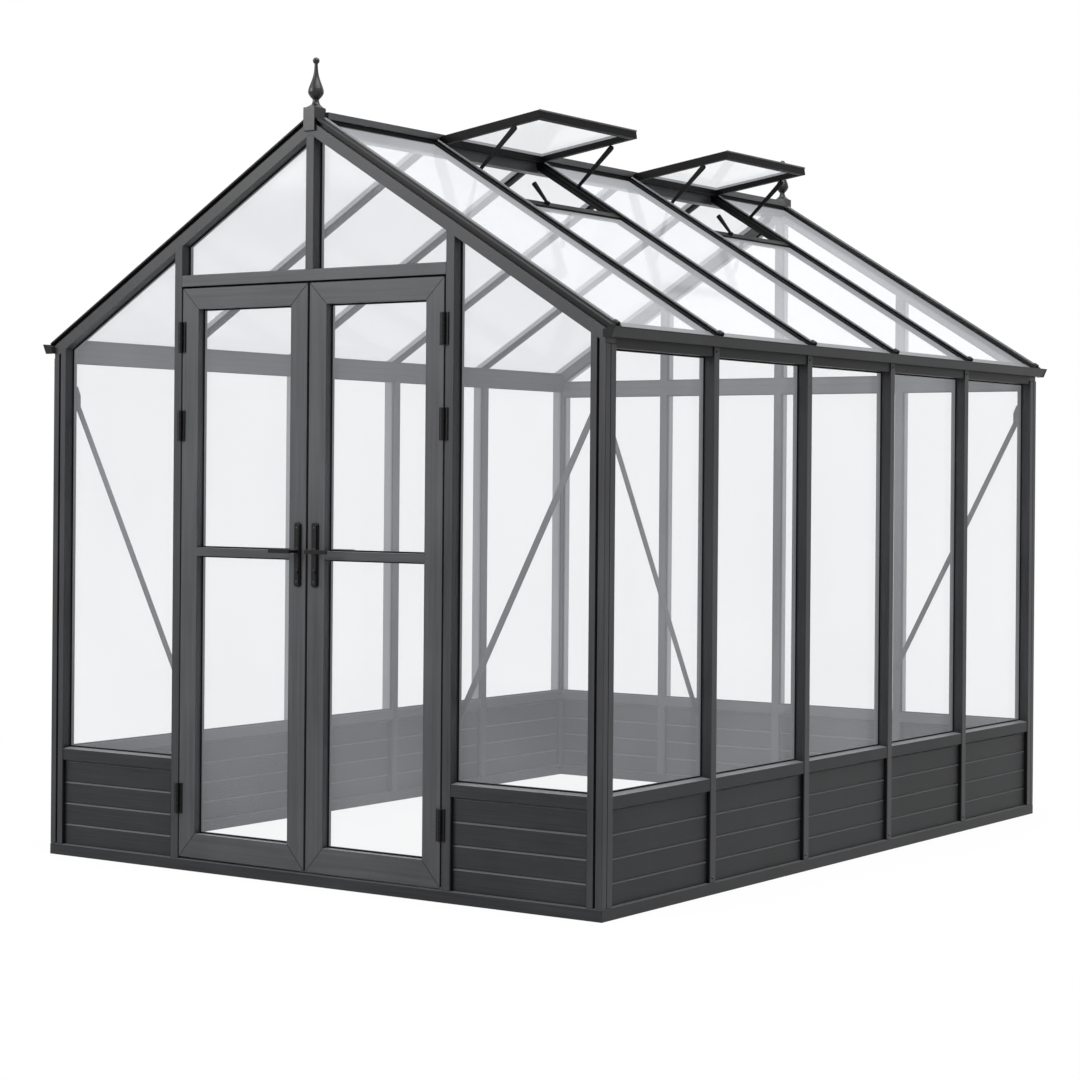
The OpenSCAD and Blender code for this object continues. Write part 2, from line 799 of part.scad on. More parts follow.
// Peg arm on a vent sill: a pivot block and a tapered arm leaning towards the ridge
module peg_arm(y) {
    on_slope() translate([y, sill_s + sill_w / 2, flange_n]) {
        translate([-stay_t, -stay_t, 0]) cube([2 * stay_t, 2 * stay_t, 1.5 * stay_t]);
        translate([0, 0, 0.75 * stay_t]) rotate([-peg_lean, 0, 0])
            cylinder(d1 = stay_foot_w, d2 = stay_head_w, h = peg_l);
    }
}

module vent_stays() {
    color(fitting_black) for (b = vent_bays) {
        vent_stay(post_y(b - 1) + stay_side);
        vent_stay(post_y(b) - stay_side);
        peg_arm(post_y(b - 1) + bay / 4);
    }
}

// Flat brace on the inner face of two posts, between an upper and a lower point
module brace_outline(a_high, a_low) {
    run = [a_low - a_high, brace_low - brace_high];
    translate([a_high, brace_high]) rotate(atan2(run[1], run[0]) - 90) {
        translate([-brace_w / 2, 0]) square([brace_w, norm(run)]);
        circle(d = brace_w);
        translate([0, norm(run)]) circle(d = brace_w);
    }
}

// Pointed bracket on a corner post, which carries the two braces that meet there
module bracket_outline() {
    outer = inner_x + bracket_lap;
    inner = outer - bracket_w;
    polygon([
        [inner, brace_high - brace_w], [outer, brace_high - brace_w], [outer, brace_high + bracket_h / 2],
        [(inner + outer) / 2, brace_high + bracket_h], [inner, brace_high + bracket_h / 2]
    ]);
}

module gable_brace() {
    through_wall(frame_d + brace_t / 2, brace_t) {
        brace_outline(inner_x - brace_in, door_post_x);
        bracket_outline();
    }
}

module side_brace() {
    through_wall(frame_d + brace_t / 2, brace_t)
        brace_outline(side_from + (brace_w - brace_t) / 2, post_y(1));
}

module braces() {
    color(frame_grey) {
        both_sides() on_front() gable_brace();
        on_right() side_brace();
        on_back() gable_brace();
    }
}

// Turned finial: flared foot, bulb drawn out into a stem, and ball, revolved
module finial_turning() {
    foot_h = finial_h / 6;
    bulb_z = foot_h + bulb_d / 2;
    ball_z = finial_h - ball_d / 2;
    steps = 12;
    foot_curve = [for (i = [0:steps]) let (t = i / steps)
        [finial_neck_d / 2 + (ridge_w - finial_neck_d) / 2 * pow(1 - t, 2), foot_h * t]];
    bulb_curve = [for (i = [1:steps]) let (t = i / steps)
        [finial_neck_d / 2 + (bulb_d - finial_neck_d) / 2 * sin(90 * t), foot_h + (bulb_z - foot_h) * t]];
    shoulder = [for (i = [1:steps]) let (t = i / steps)
        [stem_d / 2 + (bulb_d - stem_d) / 2 * pow(cos(90 * pow(t, 0.8)), 3.2), bulb_z + (ball_z - bulb_z) * t]];
    rotate_extrude()
        polygon(concat([[0, 0]], foot_curve, bulb_curve, shoulder, [[0, ball_z]]));
    translate([0, 0, ball_z]) sphere(d = ball_d);
}

// Finial on a block that stands on the rafters and laps down over their faces
module finial() {
    half = ridge_w / 2;
    middle = frame_d / 2;
    box([-half, -finial_out, finial_z - finial_lap], [half, 0, finial_z + eps]);
    box([-half, -finial_out, finial_z], [half, middle + half, finial_z + finial_block_h]);
    translate([0, middle, finial_z + finial_block_h]) finial_turning();
}

module finials() {
    color(frame_grey) {
        on_front() finial();
        on_back() finial();
    }
}

// Hinge leaf reaching from the pin towards +X, with its tongues and knuckles at the listed thirds
module hinge_leaf(thirds) {
    third = hinge_h / 3;
    clear = knuckle_d / 2 + knuckle_gap;
    box([clear, pin_out - leaf_t, -hinge_h / 2], [clear + leaf_w, pin_out, hinge_h / 2]);
    for (k = thirds)
        translate([0, 0, (k - 1) * third]) {
            h = third - knuckle_gap;
            cylinder(d = knuckle_d, h = h, center = true);
            box([0, pin_out - leaf_t, -h / 2], [clear + eps, pin_out, h / 2]);
        }
}

// Fixed half of a left door hinge, with its pin
module post_hinge() {
    mirror([1, 0, 0]) hinge_leaf([0, 2]);
    cylinder(d = pin_d, h = hinge_h - knuckle_gap, center = true);
}

// Moving half of a left door hinge, bored for the pin
module door_hinge() {
    difference() {
        hinge_leaf([1]);
        cylinder(d = pin_d + 2 * pin_clear, h = hinge_h, center = true);
    }
}

module at_hinges() {
    on_front() for (z = hinge_zs)
        translate([pin_a, -pin_out, z]) children();
}

module post_hinges() { color(fitting_black) both_sides() at_hinges() post_hinge(); }

// Left door: mitred stiles and rails around two panes
module door_outline(points) { through_wall(door_d / 2, door_d) polygon(points); }

module door_slot() {
    box([door_a0 + stile_w - slot_depth, door_glass_set - slot / 2, door_z0 + foot_h - slot_depth],
        [door_a1 - stile_w + slot_depth, door_glass_set + slot / 2, door_z1 - stile_w + slot_depth]);
}

module door_stiles() {
    in0 = door_a0 + stile_w;
    in1 = door_a1 - stile_w;
    low = door_z0 + foot_h;
    high = door_z1 - stile_w;
    on_front() difference() {
        union() {
            door_outline([[door_a0, door_z0], [in0, low], [in0, high], [door_a0, door_z1]]);
            door_outline([[door_a1, door_z0], [in1, low], [in1, high], [door_a1, door_z1]]);
        }
        door_slot();
        translate([handle_a, 0, handle_z]) spindle_bore();
    }
}

module door_rails() {
    in0 = door_a0 + stile_w;
    in1 = door_a1 - stile_w;
    low = door_z0 + foot_h;
    high = door_z1 - stile_w;
    on_front() {
        difference() {
            union() {
                door_outline([[door_a0, door_z0], [door_a1, door_z0], [in1, low], [in0, low]]);
                door_outline([[door_a0, door_z1], [door_a1, door_z1], [in1, high], [in0, high]]);
            }
            door_slot();
        }
        difference() {
            box([in0, 0, midbar_z], [in1, door_d, midbar_z + midbar_h]);
            for (z = [midbar_z - eps, midbar_z + midbar_h - slot_depth])
                box([in0 - eps, door_glass_set - slot / 2, z],
                    [in1 + eps, door_glass_set + slot / 2, z + slot_depth + eps]);
        }
    }
}

module door_glass() {
    span = [door_a0 + stile_w, door_a1 - stile_w];
    on_front() {
        pane(span, door_z0 + foot_h - bite, midbar_z + bite, door_glass_set);
        pane(span, midbar_z + midbar_h - bite, door_z1 - stile_w + bite, door_glass_set);
    }
}

module spindle_bore() {
    rotate([90, 0, 0]) cylinder(d = spindle_d + 2 * lever_clear, h = 4 * door_d, center = true);
}

// Outline of a handle plate with cut corners, drawn in by an inset
module plate_outline(inset) {
    half = plate_w / 2 - inset;
    top = plate_rise - inset;
    foot = plate_rise - plate_h + inset;
    cut = plate_corner;
    polygon([
        [cut - half, foot], [half - cut, foot], [half, foot + cut], [half, top - cut],
        [half - cut, top], [cut - half, top], [-half, top - cut], [-half, foot + cut]
    ]);
}

// Stepped handle plates on both faces of the meeting stile
module door_plates() {
    base_t = plate_t * 0.6;
    step = plate_t - base_t;
    on_front() translate([handle_a, 0, handle_z]) difference() {
        union() {
            through_wall(-base_t / 2, base_t) plate_outline(0);
            through_wall(-base_t - step / 2, step) plate_outline(step);
            through_wall(door_d + base_t / 2, base_t) plate_outline(0);
            through_wall(door_d + base_t + step / 2, step) plate_outline(step);
        }
        spindle_bore();
    }
}

// Lever on its neck, reaching out from the plate face
module lever_arm() {
    translate([0, -lever_clear, 0]) rotate([90, 0, 0]) cylinder(d = lever_d - 2, h = neck_l - lever_clear);
    translate([0, -neck_l, -lever_h / 2]) linear_extrude(lever_h) {
        circle(d = lever_d);
        polygon([[0, -lever_d / 2], [0, lever_d / 2], [-lever_l, tip_d / 2], [-lever_l, -tip_d / 2]]);
        translate([-lever_l, 0]) circle(d = tip_d);
    }
}

module lever() {
    on_front() translate([handle_a, 0, handle_z]) {
        translate([0, -plate_t, 0]) lever_arm();
        translate([0, door_d + plate_t, 0]) mirror([0, 1, 0]) lever_arm();
        translate([0, door_d + plate_t + neck_l / 2, 0]) rotate([90, 0, 0])
            cylinder(d = spindle_d, h = door_d + 2 * plate_t + neck_l);
    }
}

module left_door_stiles() { color(frame_grey) door_stiles(); }
module left_door_rails() { color(frame_grey) door_rails(); }
module left_door_glass() { color(glass_tint) door_glass(); }
module left_door_hinges() { color(fitting_black) at_hinges() door_hinge(); }
module left_door_plates() { color(fitting_black) door_plates(); }
module left_lever() { color(fitting_black) lever(); }

module right_door_stiles() { mirror([1, 0, 0]) left_door_stiles(); }
module right_door_rails() { mirror([1, 0, 0]) left_door_rails(); }
module right_door_glass() { mirror([1, 0, 0]) left_door_glass(); }
module right_door_hinges() { mirror([1, 0, 0]) left_door_hinges(); }
module right_door_plates() { mirror([1, 0, 0]) left_door_plates(); }
module right_lever() { mirror([1, 0, 0]) left_lever(); }

gable_base_rails();
side_base_rails();
corner_posts();
side_wall_posts();
door_posts();
back_wall_posts();
gable_dado_rails();
side_dado_rails();
gable_panels();
side_panels();
door_lintel();
gable_mullion();
back_tie_rail();
eave_beams();
gutters();
left_rafters();
right_rafters();
ridge_beam();
roof_bars();
verge_bars();
front_glass();
back_glass();
left_glass();
right_glass();
left_roof_glass();
right_roof_glass();
vent_sills();
vent_frames();
vent_glass();
vent_stays();
braces();
finials();
post_hinges();
left_door_stiles();
left_door_rails();
left_door_glass();
left_door_hinges();
left_door_plates();
left_lever();
right_door_stiles();
right_door_rails();
right_door_glass();
right_door_hinges();
right_door_plates();
right_lever();
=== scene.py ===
"""Looks of the glass greenhouse: finishes for its solids, and the seals, beads and fasteners on them.

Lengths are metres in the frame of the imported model: +Z is up and the door gable faces -Y.
"""

from __future__ import annotations

import json
import logging
import math
from dataclasses import dataclass, field
from enum import Enum

import bmesh
import bpy
import numpy as np
from numpy.typing import NDArray
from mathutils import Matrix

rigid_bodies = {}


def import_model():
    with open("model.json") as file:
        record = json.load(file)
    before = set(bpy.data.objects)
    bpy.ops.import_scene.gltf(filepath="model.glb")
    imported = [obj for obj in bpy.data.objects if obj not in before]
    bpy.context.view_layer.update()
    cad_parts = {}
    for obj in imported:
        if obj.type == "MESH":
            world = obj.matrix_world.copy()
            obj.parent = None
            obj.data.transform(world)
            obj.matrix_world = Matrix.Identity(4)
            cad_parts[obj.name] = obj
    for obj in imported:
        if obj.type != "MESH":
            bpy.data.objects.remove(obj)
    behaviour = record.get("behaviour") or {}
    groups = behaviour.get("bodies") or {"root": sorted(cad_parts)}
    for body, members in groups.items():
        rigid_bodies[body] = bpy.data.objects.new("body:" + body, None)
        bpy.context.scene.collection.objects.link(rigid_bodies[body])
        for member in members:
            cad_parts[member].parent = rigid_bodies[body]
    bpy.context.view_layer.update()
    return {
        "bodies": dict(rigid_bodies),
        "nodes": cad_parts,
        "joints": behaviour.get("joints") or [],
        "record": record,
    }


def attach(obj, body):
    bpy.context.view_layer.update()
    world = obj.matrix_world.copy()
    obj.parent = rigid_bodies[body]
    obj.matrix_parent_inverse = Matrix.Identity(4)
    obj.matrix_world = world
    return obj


Array = NDArray[np.float64]
Loop = list[tuple[float, float]]
Place = tuple[float, float, float]

LOG = logging.getLogger("greenhouse")
MM = 0.001


class Wall(Enum):
    """The four walls, each with its own flat coordinates: along the wall, inward from its face, and up."""

    FRONT = "front"
    BACK = "back"
    LEFT = "left"
    RIGHT = "right"


class Run(Enum):
    """Way that the drawing marks of an extrusion run, as the shrink of a pattern along each axis."""

    UPRIGHT = (1.0, 1.0, 0.03)
    LEVEL = (0.03, 0.03, 1.0)
    NONE = (1.0, 1.0, 1.0)


@dataclass(frozen=True)
class House:
    """Main sizes of the house, the same as those of its solids."""

    half_w: float = 1240 * MM
    front_y: float = -1678 * MM
    length: float = 3400 * MM
    frame_d: float = 60 * MM
    post_w: float = 36 * MM
    side_bays: int = 5
    door_half: float = 595 * MM
    base_rail_h: float = 42 * MM
    dado_top: float = 404 * MM
    eave_h: float = 1850 * MM
    roof_z: float = 1862 * MM
    pitch: float = math.radians(31.5)
    lintel_drop: float = 85 * MM
    lintel_h: float = 40 * MM
    tie_gap: float = 6 * MM
    tie_h: float = 68 * MM
    glass_t: float = 4 * MM
    side_glass_set: float = 44 * MM
    gable_glass_set: float = 44 * MM

    @property
    def back_y(self) -> float:
        """Outer face of the back gable."""
        return self.front_y + self.length

    @property
    def inner_x(self) -> float:
        """Inner face of the side walls."""
        return self.half_w - self.frame_d

    @property
    def bay(self) -> float:
        """Distance between side posts."""
        return (self.length - self.frame_d) / self.side_bays

    @property
    def lintel_top(self) -> float:
        """Upper face of the door lintel."""
        return self.under_z(self.door_half + self.post_w) - self.lintel_drop

    @property
    def tie_top(self) -> float:
        """Upper face of the tie rail of the back gable."""
        return self.under_z(self.inner_x) - self.tie_gap

    def post_y(self, index: int) -> float:
        """Middle of a side post, counted from the front corner."""
        return self.front_y + self.frame_d / 2 + index * self.bay

    def under_z(self, x: float) -> float:
        """Height of the rafter underside at a distance from the middle."""
        return self.roof_z + (self.half_w - abs(x)) * math.tan(self.pitch)

    def on_wall(self, wall: Wall, points: Array) -> Array:
        """Places wall coordinates in the house.

        Args:
            wall: the wall that the points belong to.
            points: an array (..., 3) of distances along the wall, inward from its face, and up.

        Returns:
            The same points in the frame of the house.
        """
        along, inward, up = points[..., 0], points[..., 1], points[..., 2]
        if wall is Wall.FRONT:
            return np.stack([along, self.front_y + inward, up], axis=-1)
        if wall is Wall.BACK:
            return np.stack([along, self.back_y - inward, up], axis=-1)
        if wall is Wall.RIGHT:
            return np.stack([self.half_w - inward, along, up], axis=-1)
        return np.stack([inward - self.half_w, along, up], axis=-1)

    def inward(self, wall: Wall) -> Array:
        """Unit direction from the face of a wall into the house."""
        ends = self.on_wall(wall, np.array([[0.0, 0.0, 0.0], [0.0, 1.0, 0.0]]))
        return unit(ends[1] - ends[0])


# Finishes


def linear(code: str) -> tuple[float, float, float, float]:
    """Turns an sRGB hex colour into linear light.

    Args:
        code: a colour such as "#45474a".

    Returns:
        Red, green, blue and an alpha of one.
    """
    parts = np.array([int(code[i : i + 2], 16) for i in (1, 3, 5)]) / 255
    red, green, blue = np.where(parts <= 0.04045, parts / 12.92, ((parts + 0.055) / 1.055) ** 2.4)
    return float(red), float(green), float(blue), 1.0


def add_node(tree: bpy.types.NodeTree, kind: str, inputs: dict, **settings: object) -> bpy.types.Node:
    """Adds one node with its settings, input values and links.

    Args:
        tree: the node tree of a material or of the world.
        kind: Blender's name of the node type.
        inputs: values or output sockets by input name or number.
        **settings: attributes of the node itself.

    Returns:
        The new node.
    """
    node = tree.nodes.new(kind)
    for name, value in settings.items():
        setattr(node, name, value)
    for key, value in inputs.items():
        if isinstance(value, bpy.types.NodeSocket):
            tree.links.new(value, node.inputs[key])
        else:
            node.inputs[key].default_value = value
    return node


def per_metre(size_mm: float) -> float:
    """Texture scale whose features measure about that many millimetres."""
    return 1.0 / (size_mm * MM)


@dataclass(frozen=True)
class PowderCoat:
    """Powder-coated aluminium: a satin skin with faint orange peel over the drawing marks of the extrusion.

    The eye gets a soft broad highlight, fine streaks along each bar, rounded edges that catch the light, and
    a painted highlight that pales the faces that look up.
    """

    name: str
    colour: str
    worn: str
    roughness: float
    run: Run = Run.NONE
    streak_mm: float = 11.0
    shine: float = 0.4
    top_highlight: str = "#707274"
    peel_mm: float = 2.2
    cloud_mm: float = 420.0
    edge_mm: float = 1.6
    gloss_spread: float = 0.08
    peel_strength: float = 0.05
    peel_depth_mm: float = 0.4

    def material(self) -> bpy.types.Material:
        """Builds the node material.

        Returns:
            The material, ready for any piece with this coat.
        """
        made = bpy.data.materials.new(self.name)
        made.use_nodes = True
        tree = made.node_tree
        tree.nodes.clear()
        place = add_node(tree, "ShaderNodeTexCoord", {}).outputs["Object"]
        drawn = add_node(tree, "ShaderNodeMapping", {"Vector": place, "Scale": self.run.value})
        cloud = add_node(
            tree, "ShaderNodeTexNoise", {"Vector": place, "Scale": per_metre(self.cloud_mm), "Detail": 4.0}
        )
        mark = add_node(
            tree,
            "ShaderNodeTexNoise",
            {"Vector": drawn.outputs[0], "Scale": per_metre(self.streak_mm), "Detail": 3.0},
        )
        both = add_node(
            tree, "ShaderNodeMath", {0: cloud.outputs["Fac"], 1: mark.outputs["Fac"]}, operation="ADD"
        )
        spread = add_node(
            tree, "ShaderNodeMapRange", {"Value": both.outputs[0], "From Min": 0.7, "From Max": 1.3}
        )
        tone = add_node(
            tree,
            "ShaderNodeMix",
            {0: spread.outputs["Result"], 6: linear(self.colour), 7: linear(self.worn)},
            data_type="RGBA",
        )
        # Faces that look up are mixed towards a paler colour: a painted highlight of the light from above,
        # which pales the upper edges of boards and rails.
        facing = add_node(tree, "ShaderNodeNewGeometry", {}).outputs["True Normal"]
        upward = add_node(tree, "ShaderNodeSeparateXYZ", {0: facing}).outputs["Z"]
        top_share = add_node(tree, "ShaderNodeMapRange", {"Value": upward, "From Min": 0.3, "From Max": 0.9})
        highlighted = add_node(
            tree,
            "ShaderNodeMix",
            {0: top_share.outputs["Result"], 6: tone.outputs[2], 7: linear(self.top_highlight)},
            data_type="RGBA",
        )
        gloss = add_node(
            tree,
            "ShaderNodeMapRange",
            {
                "Value": mark.outputs["Fac"],
                "To Min": self.roughness - self.gloss_spread,
                "To Max": self.roughness + self.gloss_spread,
            },
        )
        # Baked powder is peeled at about a millimetre; drawn coarser so that it shows.
        peel = add_node(
            tree, "ShaderNodeTexNoise", {"Vector": place, "Scale": per_metre(self.peel_mm), "Detail": 1.0}
        )
        round_edge = add_node(tree, "ShaderNodeBevel", {"Radius": self.edge_mm * MM}, samples=6)
        bump = add_node(
            tree,
            "ShaderNodeBump",
            {
                "Strength": self.peel_strength,
                "Distance": self.peel_depth_mm * MM,
                "Height": peel.outputs["Fac"],
                "Normal": round_edge.outputs["Normal"],
            },
        )
        coat = add_node(
            tree,
            "ShaderNodeBsdfPrincipled",
            {
                "Base Color": highlighted.outputs[2],
                "Roughness": gloss.outputs["Result"],
                "Normal": bump.outputs["Normal"],
                "Specular IOR Level": self.shine,
            },
        )
        add_node(tree, "ShaderNodeOutputMaterial", {"Surface": coat.outputs["BSDF"]})
        return made


@dataclass(frozen=True)
class Glass:
    """Toughened float glass, 4 mm: clear, with a painted glow, an emission in the sky's colour that stands in
    for its reflection and lightens what stands behind it.
    """

    name: str
    colour: str
    veil: float
    streak: float
    sky_glow: float
    shine: float = 0.5
    sky: str = "#f3f5fa"
    wave_mm: float = 900.0
    smear_mm: float = 60.0

    def material(self) -> bpy.types.Material:
        """Builds the node material.

        Returns:
            The material for the panes.
        """
        made = bpy.data.materials.new(self.name)
        made.use_nodes = True
        tree = made.node_tree
        tree.nodes.clear()
        place = add_node(tree, "ShaderNodeTexCoord", {}).outputs["Object"]
        # Toughening leaves broad waves, askew to the panes: the veil, and with it the painted glow, comes and
        # goes along them.
        askew = add_node(tree, "ShaderNodeMapping", {"Vector": place, "Rotation": (0.5, 0.6, 0.3)})
        wave = add_node(
            tree,
            "ShaderNodeTexNoise",
            {"Vector": askew.outputs[0], "Scale": per_metre(self.wave_mm), "Detail": 2.0},
        )
        veil = add_node(
            tree,
            "ShaderNodeMapRange",
            {
                "Value": wave.outputs["Fac"],
                "From Min": 0.3,
                "From Max": 0.7,
                "To Min": self.veil - self.streak,
                "To Max": self.veil + self.streak,
            },
        )
        smear = add_node(
            tree, "ShaderNodeTexNoise", {"Vector": place, "Scale": per_metre(self.smear_mm), "Detail": 5.0}
        )
        gloss = add_node(
            tree, "ShaderNodeMapRange", {"Value": smear.outputs["Fac"], "To Min": 0.02, "To Max": 0.09}
        )
        pane = add_node(
            tree,
            "ShaderNodeBsdfPrincipled",
            {
                "Base Color": linear(self.colour),
                "Roughness": gloss.outputs["Result"],
                "IOR": 1.52,
                "Specular IOR Level": self.shine,
                "Alpha": veil.outputs["Result"],
                # The emission is a painted reflection of the bright sky: the pane glows though it is no lamp.
                "Emission Color": linear(self.sky),
                "Emission Strength": self.sky_glow,
            },
        )
        add_node(tree, "ShaderNodeOutputMaterial", {"Surface": pane.outputs["BSDF"]})
        return made


# The top highlight of each coat is painted light: a pale colour on faces that look up, for the light lines on
# boards, rails, rolls and lever tops; dark values keep it faint.
FINISHES: dict[str, PowderCoat | Glass] = {
    "post": PowderCoat("powder_coated_aluminium_post", "#1e1f21", "#2f3033", 0.42, Run.UPRIGHT, shine=0.35),
    "rail": PowderCoat(
        "powder_coated_aluminium_rail", "#1c1d1f", "#2b2c2e", 0.42, Run.LEVEL, shine=0.2, top_highlight="#55575a"
    ),
    "bar": PowderCoat("powder_coated_aluminium_bar", "#202123", "#2e2f31", 0.42, shine=0.35),
    "panel": PowderCoat("powder_coated_aluminium_plank", "#1c1d1f", "#2a2b2d", 0.48, Run.LEVEL, 7.0, 0.2),
    # A darker copy of the coat for the eave beams: painted shade of the gutter's shadow over them.
    "eave": PowderCoat("powder_coated_aluminium_eave_shaded", "#0f1011", "#1b1c1d", 0.45, Run.LEVEL, shine=0.2),
    "flashing": PowderCoat("powder_coated_aluminium_flashing", "#303133", "#424346", 0.4, Run.LEVEL),
    "capping": PowderCoat(
        "powder_coated_aluminium_capping", "#09090a", "#131314", 0.4, shine=0.15, top_highlight="#1c1d1e"
    ),
    "vent": PowderCoat("black_coated_aluminium_vent", "#050506", "#0d0d0e", 0.45, shine=0.07, top_highlight="#1c1d1e"),
    "roll": PowderCoat("gloss_coated_aluminium_roll", "#0b0b0c", "#151516", 0.25, shine=0.15, top_highlight="#6a6c6f"),
    "finial": PowderCoat(
        "gloss_coated_aluminium_finial", "#111213", "#1c1d1f", 0.32, shine=0.35, top_highlight="#2c2d2f", peel_mm=9.0
    ),
    "stile": PowderCoat("powder_coated_aluminium_stile", "#2b2c2e", "#3f4043", 0.42, Run.UPRIGHT),
    "door_rail": PowderCoat("powder_coated_aluminium_door_rail", "#2b2c2e", "#3f4043", 0.42, Run.LEVEL),
    "black": PowderCoat(
        "black_coated_zinc", "#050506", "#0e0e0f", 0.36, shine=0.2, top_highlight="#4a4b4d", edge_mm=1.2
    ),
    "rubber": PowderCoat(
        "epdm_rubber_seal", "#070708", "#101011", 0.72, shine=0.12, top_highlight="#1c1d1e", edge_mm=0.6
    ),
    "steel": PowderCoat("blackened_stainless_steel", "#1b1c1d", "#2c2d2f", 0.36, peel_mm=1.2, edge_mm=0.5),
    "glass": Glass("toughened_glass", "#5a5d60", veil=0.132, streak=0.03, sky_glow=0.62),
    "roof_glass": Glass("toughened_roof_glass", "#8a8d90", veil=0.28, streak=0.03, sky_glow=0.5, shine=0.2),
}


# Surfaces


@dataclass
class Surface:
    """Grids of points gathered into one mesh."""

    points: list[Array] = field(default_factory=list)
    quads: list[NDArray[np.int64]] = field(default_factory=list)
    count: int = 0

    def add(self, grid: Array, loop: bool) -> None:
        """Adds a grid of rings, each ring closed on itself.

        Args:
            grid: an array (rings, points per ring, 3).
            loop: whether the last ring joins the first.
        """
        rings, around, _ = grid.shape
        number = np.arange(rings * around).reshape(rings, around) + self.count
        after = np.roll(number, -1, axis=0) if loop else number[1:]
        here = number if loop else number[:-1]
        sides = [here, np.roll(here, -1, axis=1), np.roll(after, -1, axis=1), after]
        self.quads.append(np.stack(sides, axis=-1).reshape(-1, 4))
        self.points.append(grid.reshape(-1, 3))
        self.count += rings * around

    def build(self, name: str, finish: bpy.types.Material, body: str, slot: str) -> bpy.types.Object:
        """Makes the piece, merges the poles and turns its faces outwards.

        Args:
            name: name of the piece.
            finish: its material.
            body: the body that it rides on.
            slot: the material slot of the record that it belongs to; not used.

        Returns:
            The finished object.
        """
        points = np.concatenate(self.points)
        quads = np.concatenate(self.quads)
        mesh = bpy.data.meshes.new(name)
        mesh.vertices.add(len(points))
        mesh.vertices.foreach_set("co", points.ravel())
        mesh.loops.add(quads.size)
        mesh.loops.foreach_set("vertex_index", quads.ravel())
        mesh.polygons.add(len(quads))
        mesh.polygons.foreach_set("loop_start", np.arange(0, quads.size, 4))
        mesh.update(calc_edges=True)
        shell = bmesh.new()
        shell.from_mesh(mesh)
        bmesh.ops.remove_doubles(shell, verts=shell.verts, dist=1e-6)
        bmesh.ops.recalc_face_normals(shell, faces=shell.faces)
        shell.to_mesh(mesh)
        shell.free()
        mesh.shade_smooth()
        mesh.set_sharp_from_angle(angle=math.radians(38))
        mesh.materials.append(finish)
        piece = bpy.data.objects.new(name, mesh)
        bpy.context.scene.collection.objects.link(piece)
        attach(piece, body)
        LOG.info("%s: %d faces on %s", name, len(mesh.polygons), body)
        return piece


def unit(vectors: Array) -> Array:
    """Vectors of length one with the same directions."""
    return vectors / np.linalg.norm(vectors, axis=-1, keepdims=True)


def inset_loop(corners: Array, distance: float) -> Array:
    """Draws a convex loop in: each corner moves along the mitre of the inward normals of its two edges.

    Args:
        corners: an array (n, 2), counter-clockwise.
        distance: how far every edge moves in.

    Returns:
        The corners of the smaller loop.
    """
    edges = unit(np.roll(corners, -1, axis=0) - corners)
    inward = np.stack([-edges[:, 1], edges[:, 0]], axis=1)
    before = np.roll(inward, 1, axis=0)
    spread = 1 + np.sum(before * inward, axis=1, keepdims=True)
    return corners + distance * (before + inward) / spread


def carried_round(path: Array, normal: Array, profile: Array) -> Array:
    """Carries a profile round a flat closed path: point = corner + first * mitred side + second * normal.

    Args:
        path: an array (n, 3) of corners.
        normal: unit normal of the plane of the path.
        profile: an array (m, 2), across the path and along the normal.

    Returns:
        A grid (n, m, 3) whose rings stand in the mitre planes.
    """
    onward = unit(np.roll(path, -1, axis=0) - path)
    side = np.cross(normal, onward)
    side_before = np.roll(side, 1, axis=0)
    mitre = (side + side_before) / (1 + np.sum(side * side_before, axis=1, keepdims=True))
    return path[:, None, :] + profile[None, :, :1] * mitre[:, None, :] + profile[None, :, 1:] * normal


def carried_along(ends: Array, across: Array, profile: Array) -> Array:
    """Carries a profile along a straight line and closes both ends on the middle of the profile.

    Args:
        ends: an array (2, 3), the two ends of the line.
        across: unit direction of the first profile axis; the second is square to it and to the line.
        profile: an array (m, 2).

    Returns:
        A grid (4, m, 3): middle, ring, ring, middle.
    """
    along = unit(ends[1] - ends[0])
    second = np.cross(along, across)
    ring = profile[:, :1] * across + profile[:, 1:] * second
    middle = np.broadcast_to(ring.mean(axis=0), ring.shape)
    return np.stack([ends[0] + middle, ends[0] + ring, ends[1] + ring, ends[1] + middle])


def plate(ring: Array, thickness: Array) -> Array:
    """Carries a flat ring straight through a thickness and closes both faces on their middles.

    Args:
        ring: an array (m, 3) of corners.
        thickness: the vector from one face to the other.

    Returns:
        A grid (4, m, 3): middle, ring, ring, middle.
    """
    middle = np.broadcast_to(ring.mean(axis=0), ring.shape)
    return np.stack([middle, ring, ring + thickness, middle + thickness])


def turned(origin: Array, axis: Array, outline: Array, steps: int = 20) -> Array:
    """Turns an outline round an axis: point = origin + height * axis + radius * (cos t, sin t) square to it.

    Args:
        origin: foot of the axis.
        axis: unit direction of the axis.
        outline: an array (n, 2) of radius and height, from pole to pole.
        steps: number of points round the axis.

    Returns:
        A grid (n, steps, 3).
    """
    helper = np.array([0.0, 0.0, 1.0]) if abs(axis[2]) < 0.9 else np.array([1.0, 0.0, 0.0])
    first = unit(np.cross(helper, axis))
    second = np.cross(axis, first)
    angle = np.linspace(0, 2 * math.pi, steps, endpoint=False)
    spoke = np.cos(angle)[:, None] * first + np.sin(angle)[:, None] * second
    return origin + outline[:, None, 1:] * axis + outline[:, None, :1] * spoke[None]


def bead_profile(radius: float, steps: int = 10) -> Array:
    """Round bead, flattened by a fifth on its second axis."""
    angle = np.linspace(0, 2 * math.pi, steps, endpoint=False)
    return np.stack([radius * np.cos(angle), 0.8 * radius * np.sin(angle)], axis=1)


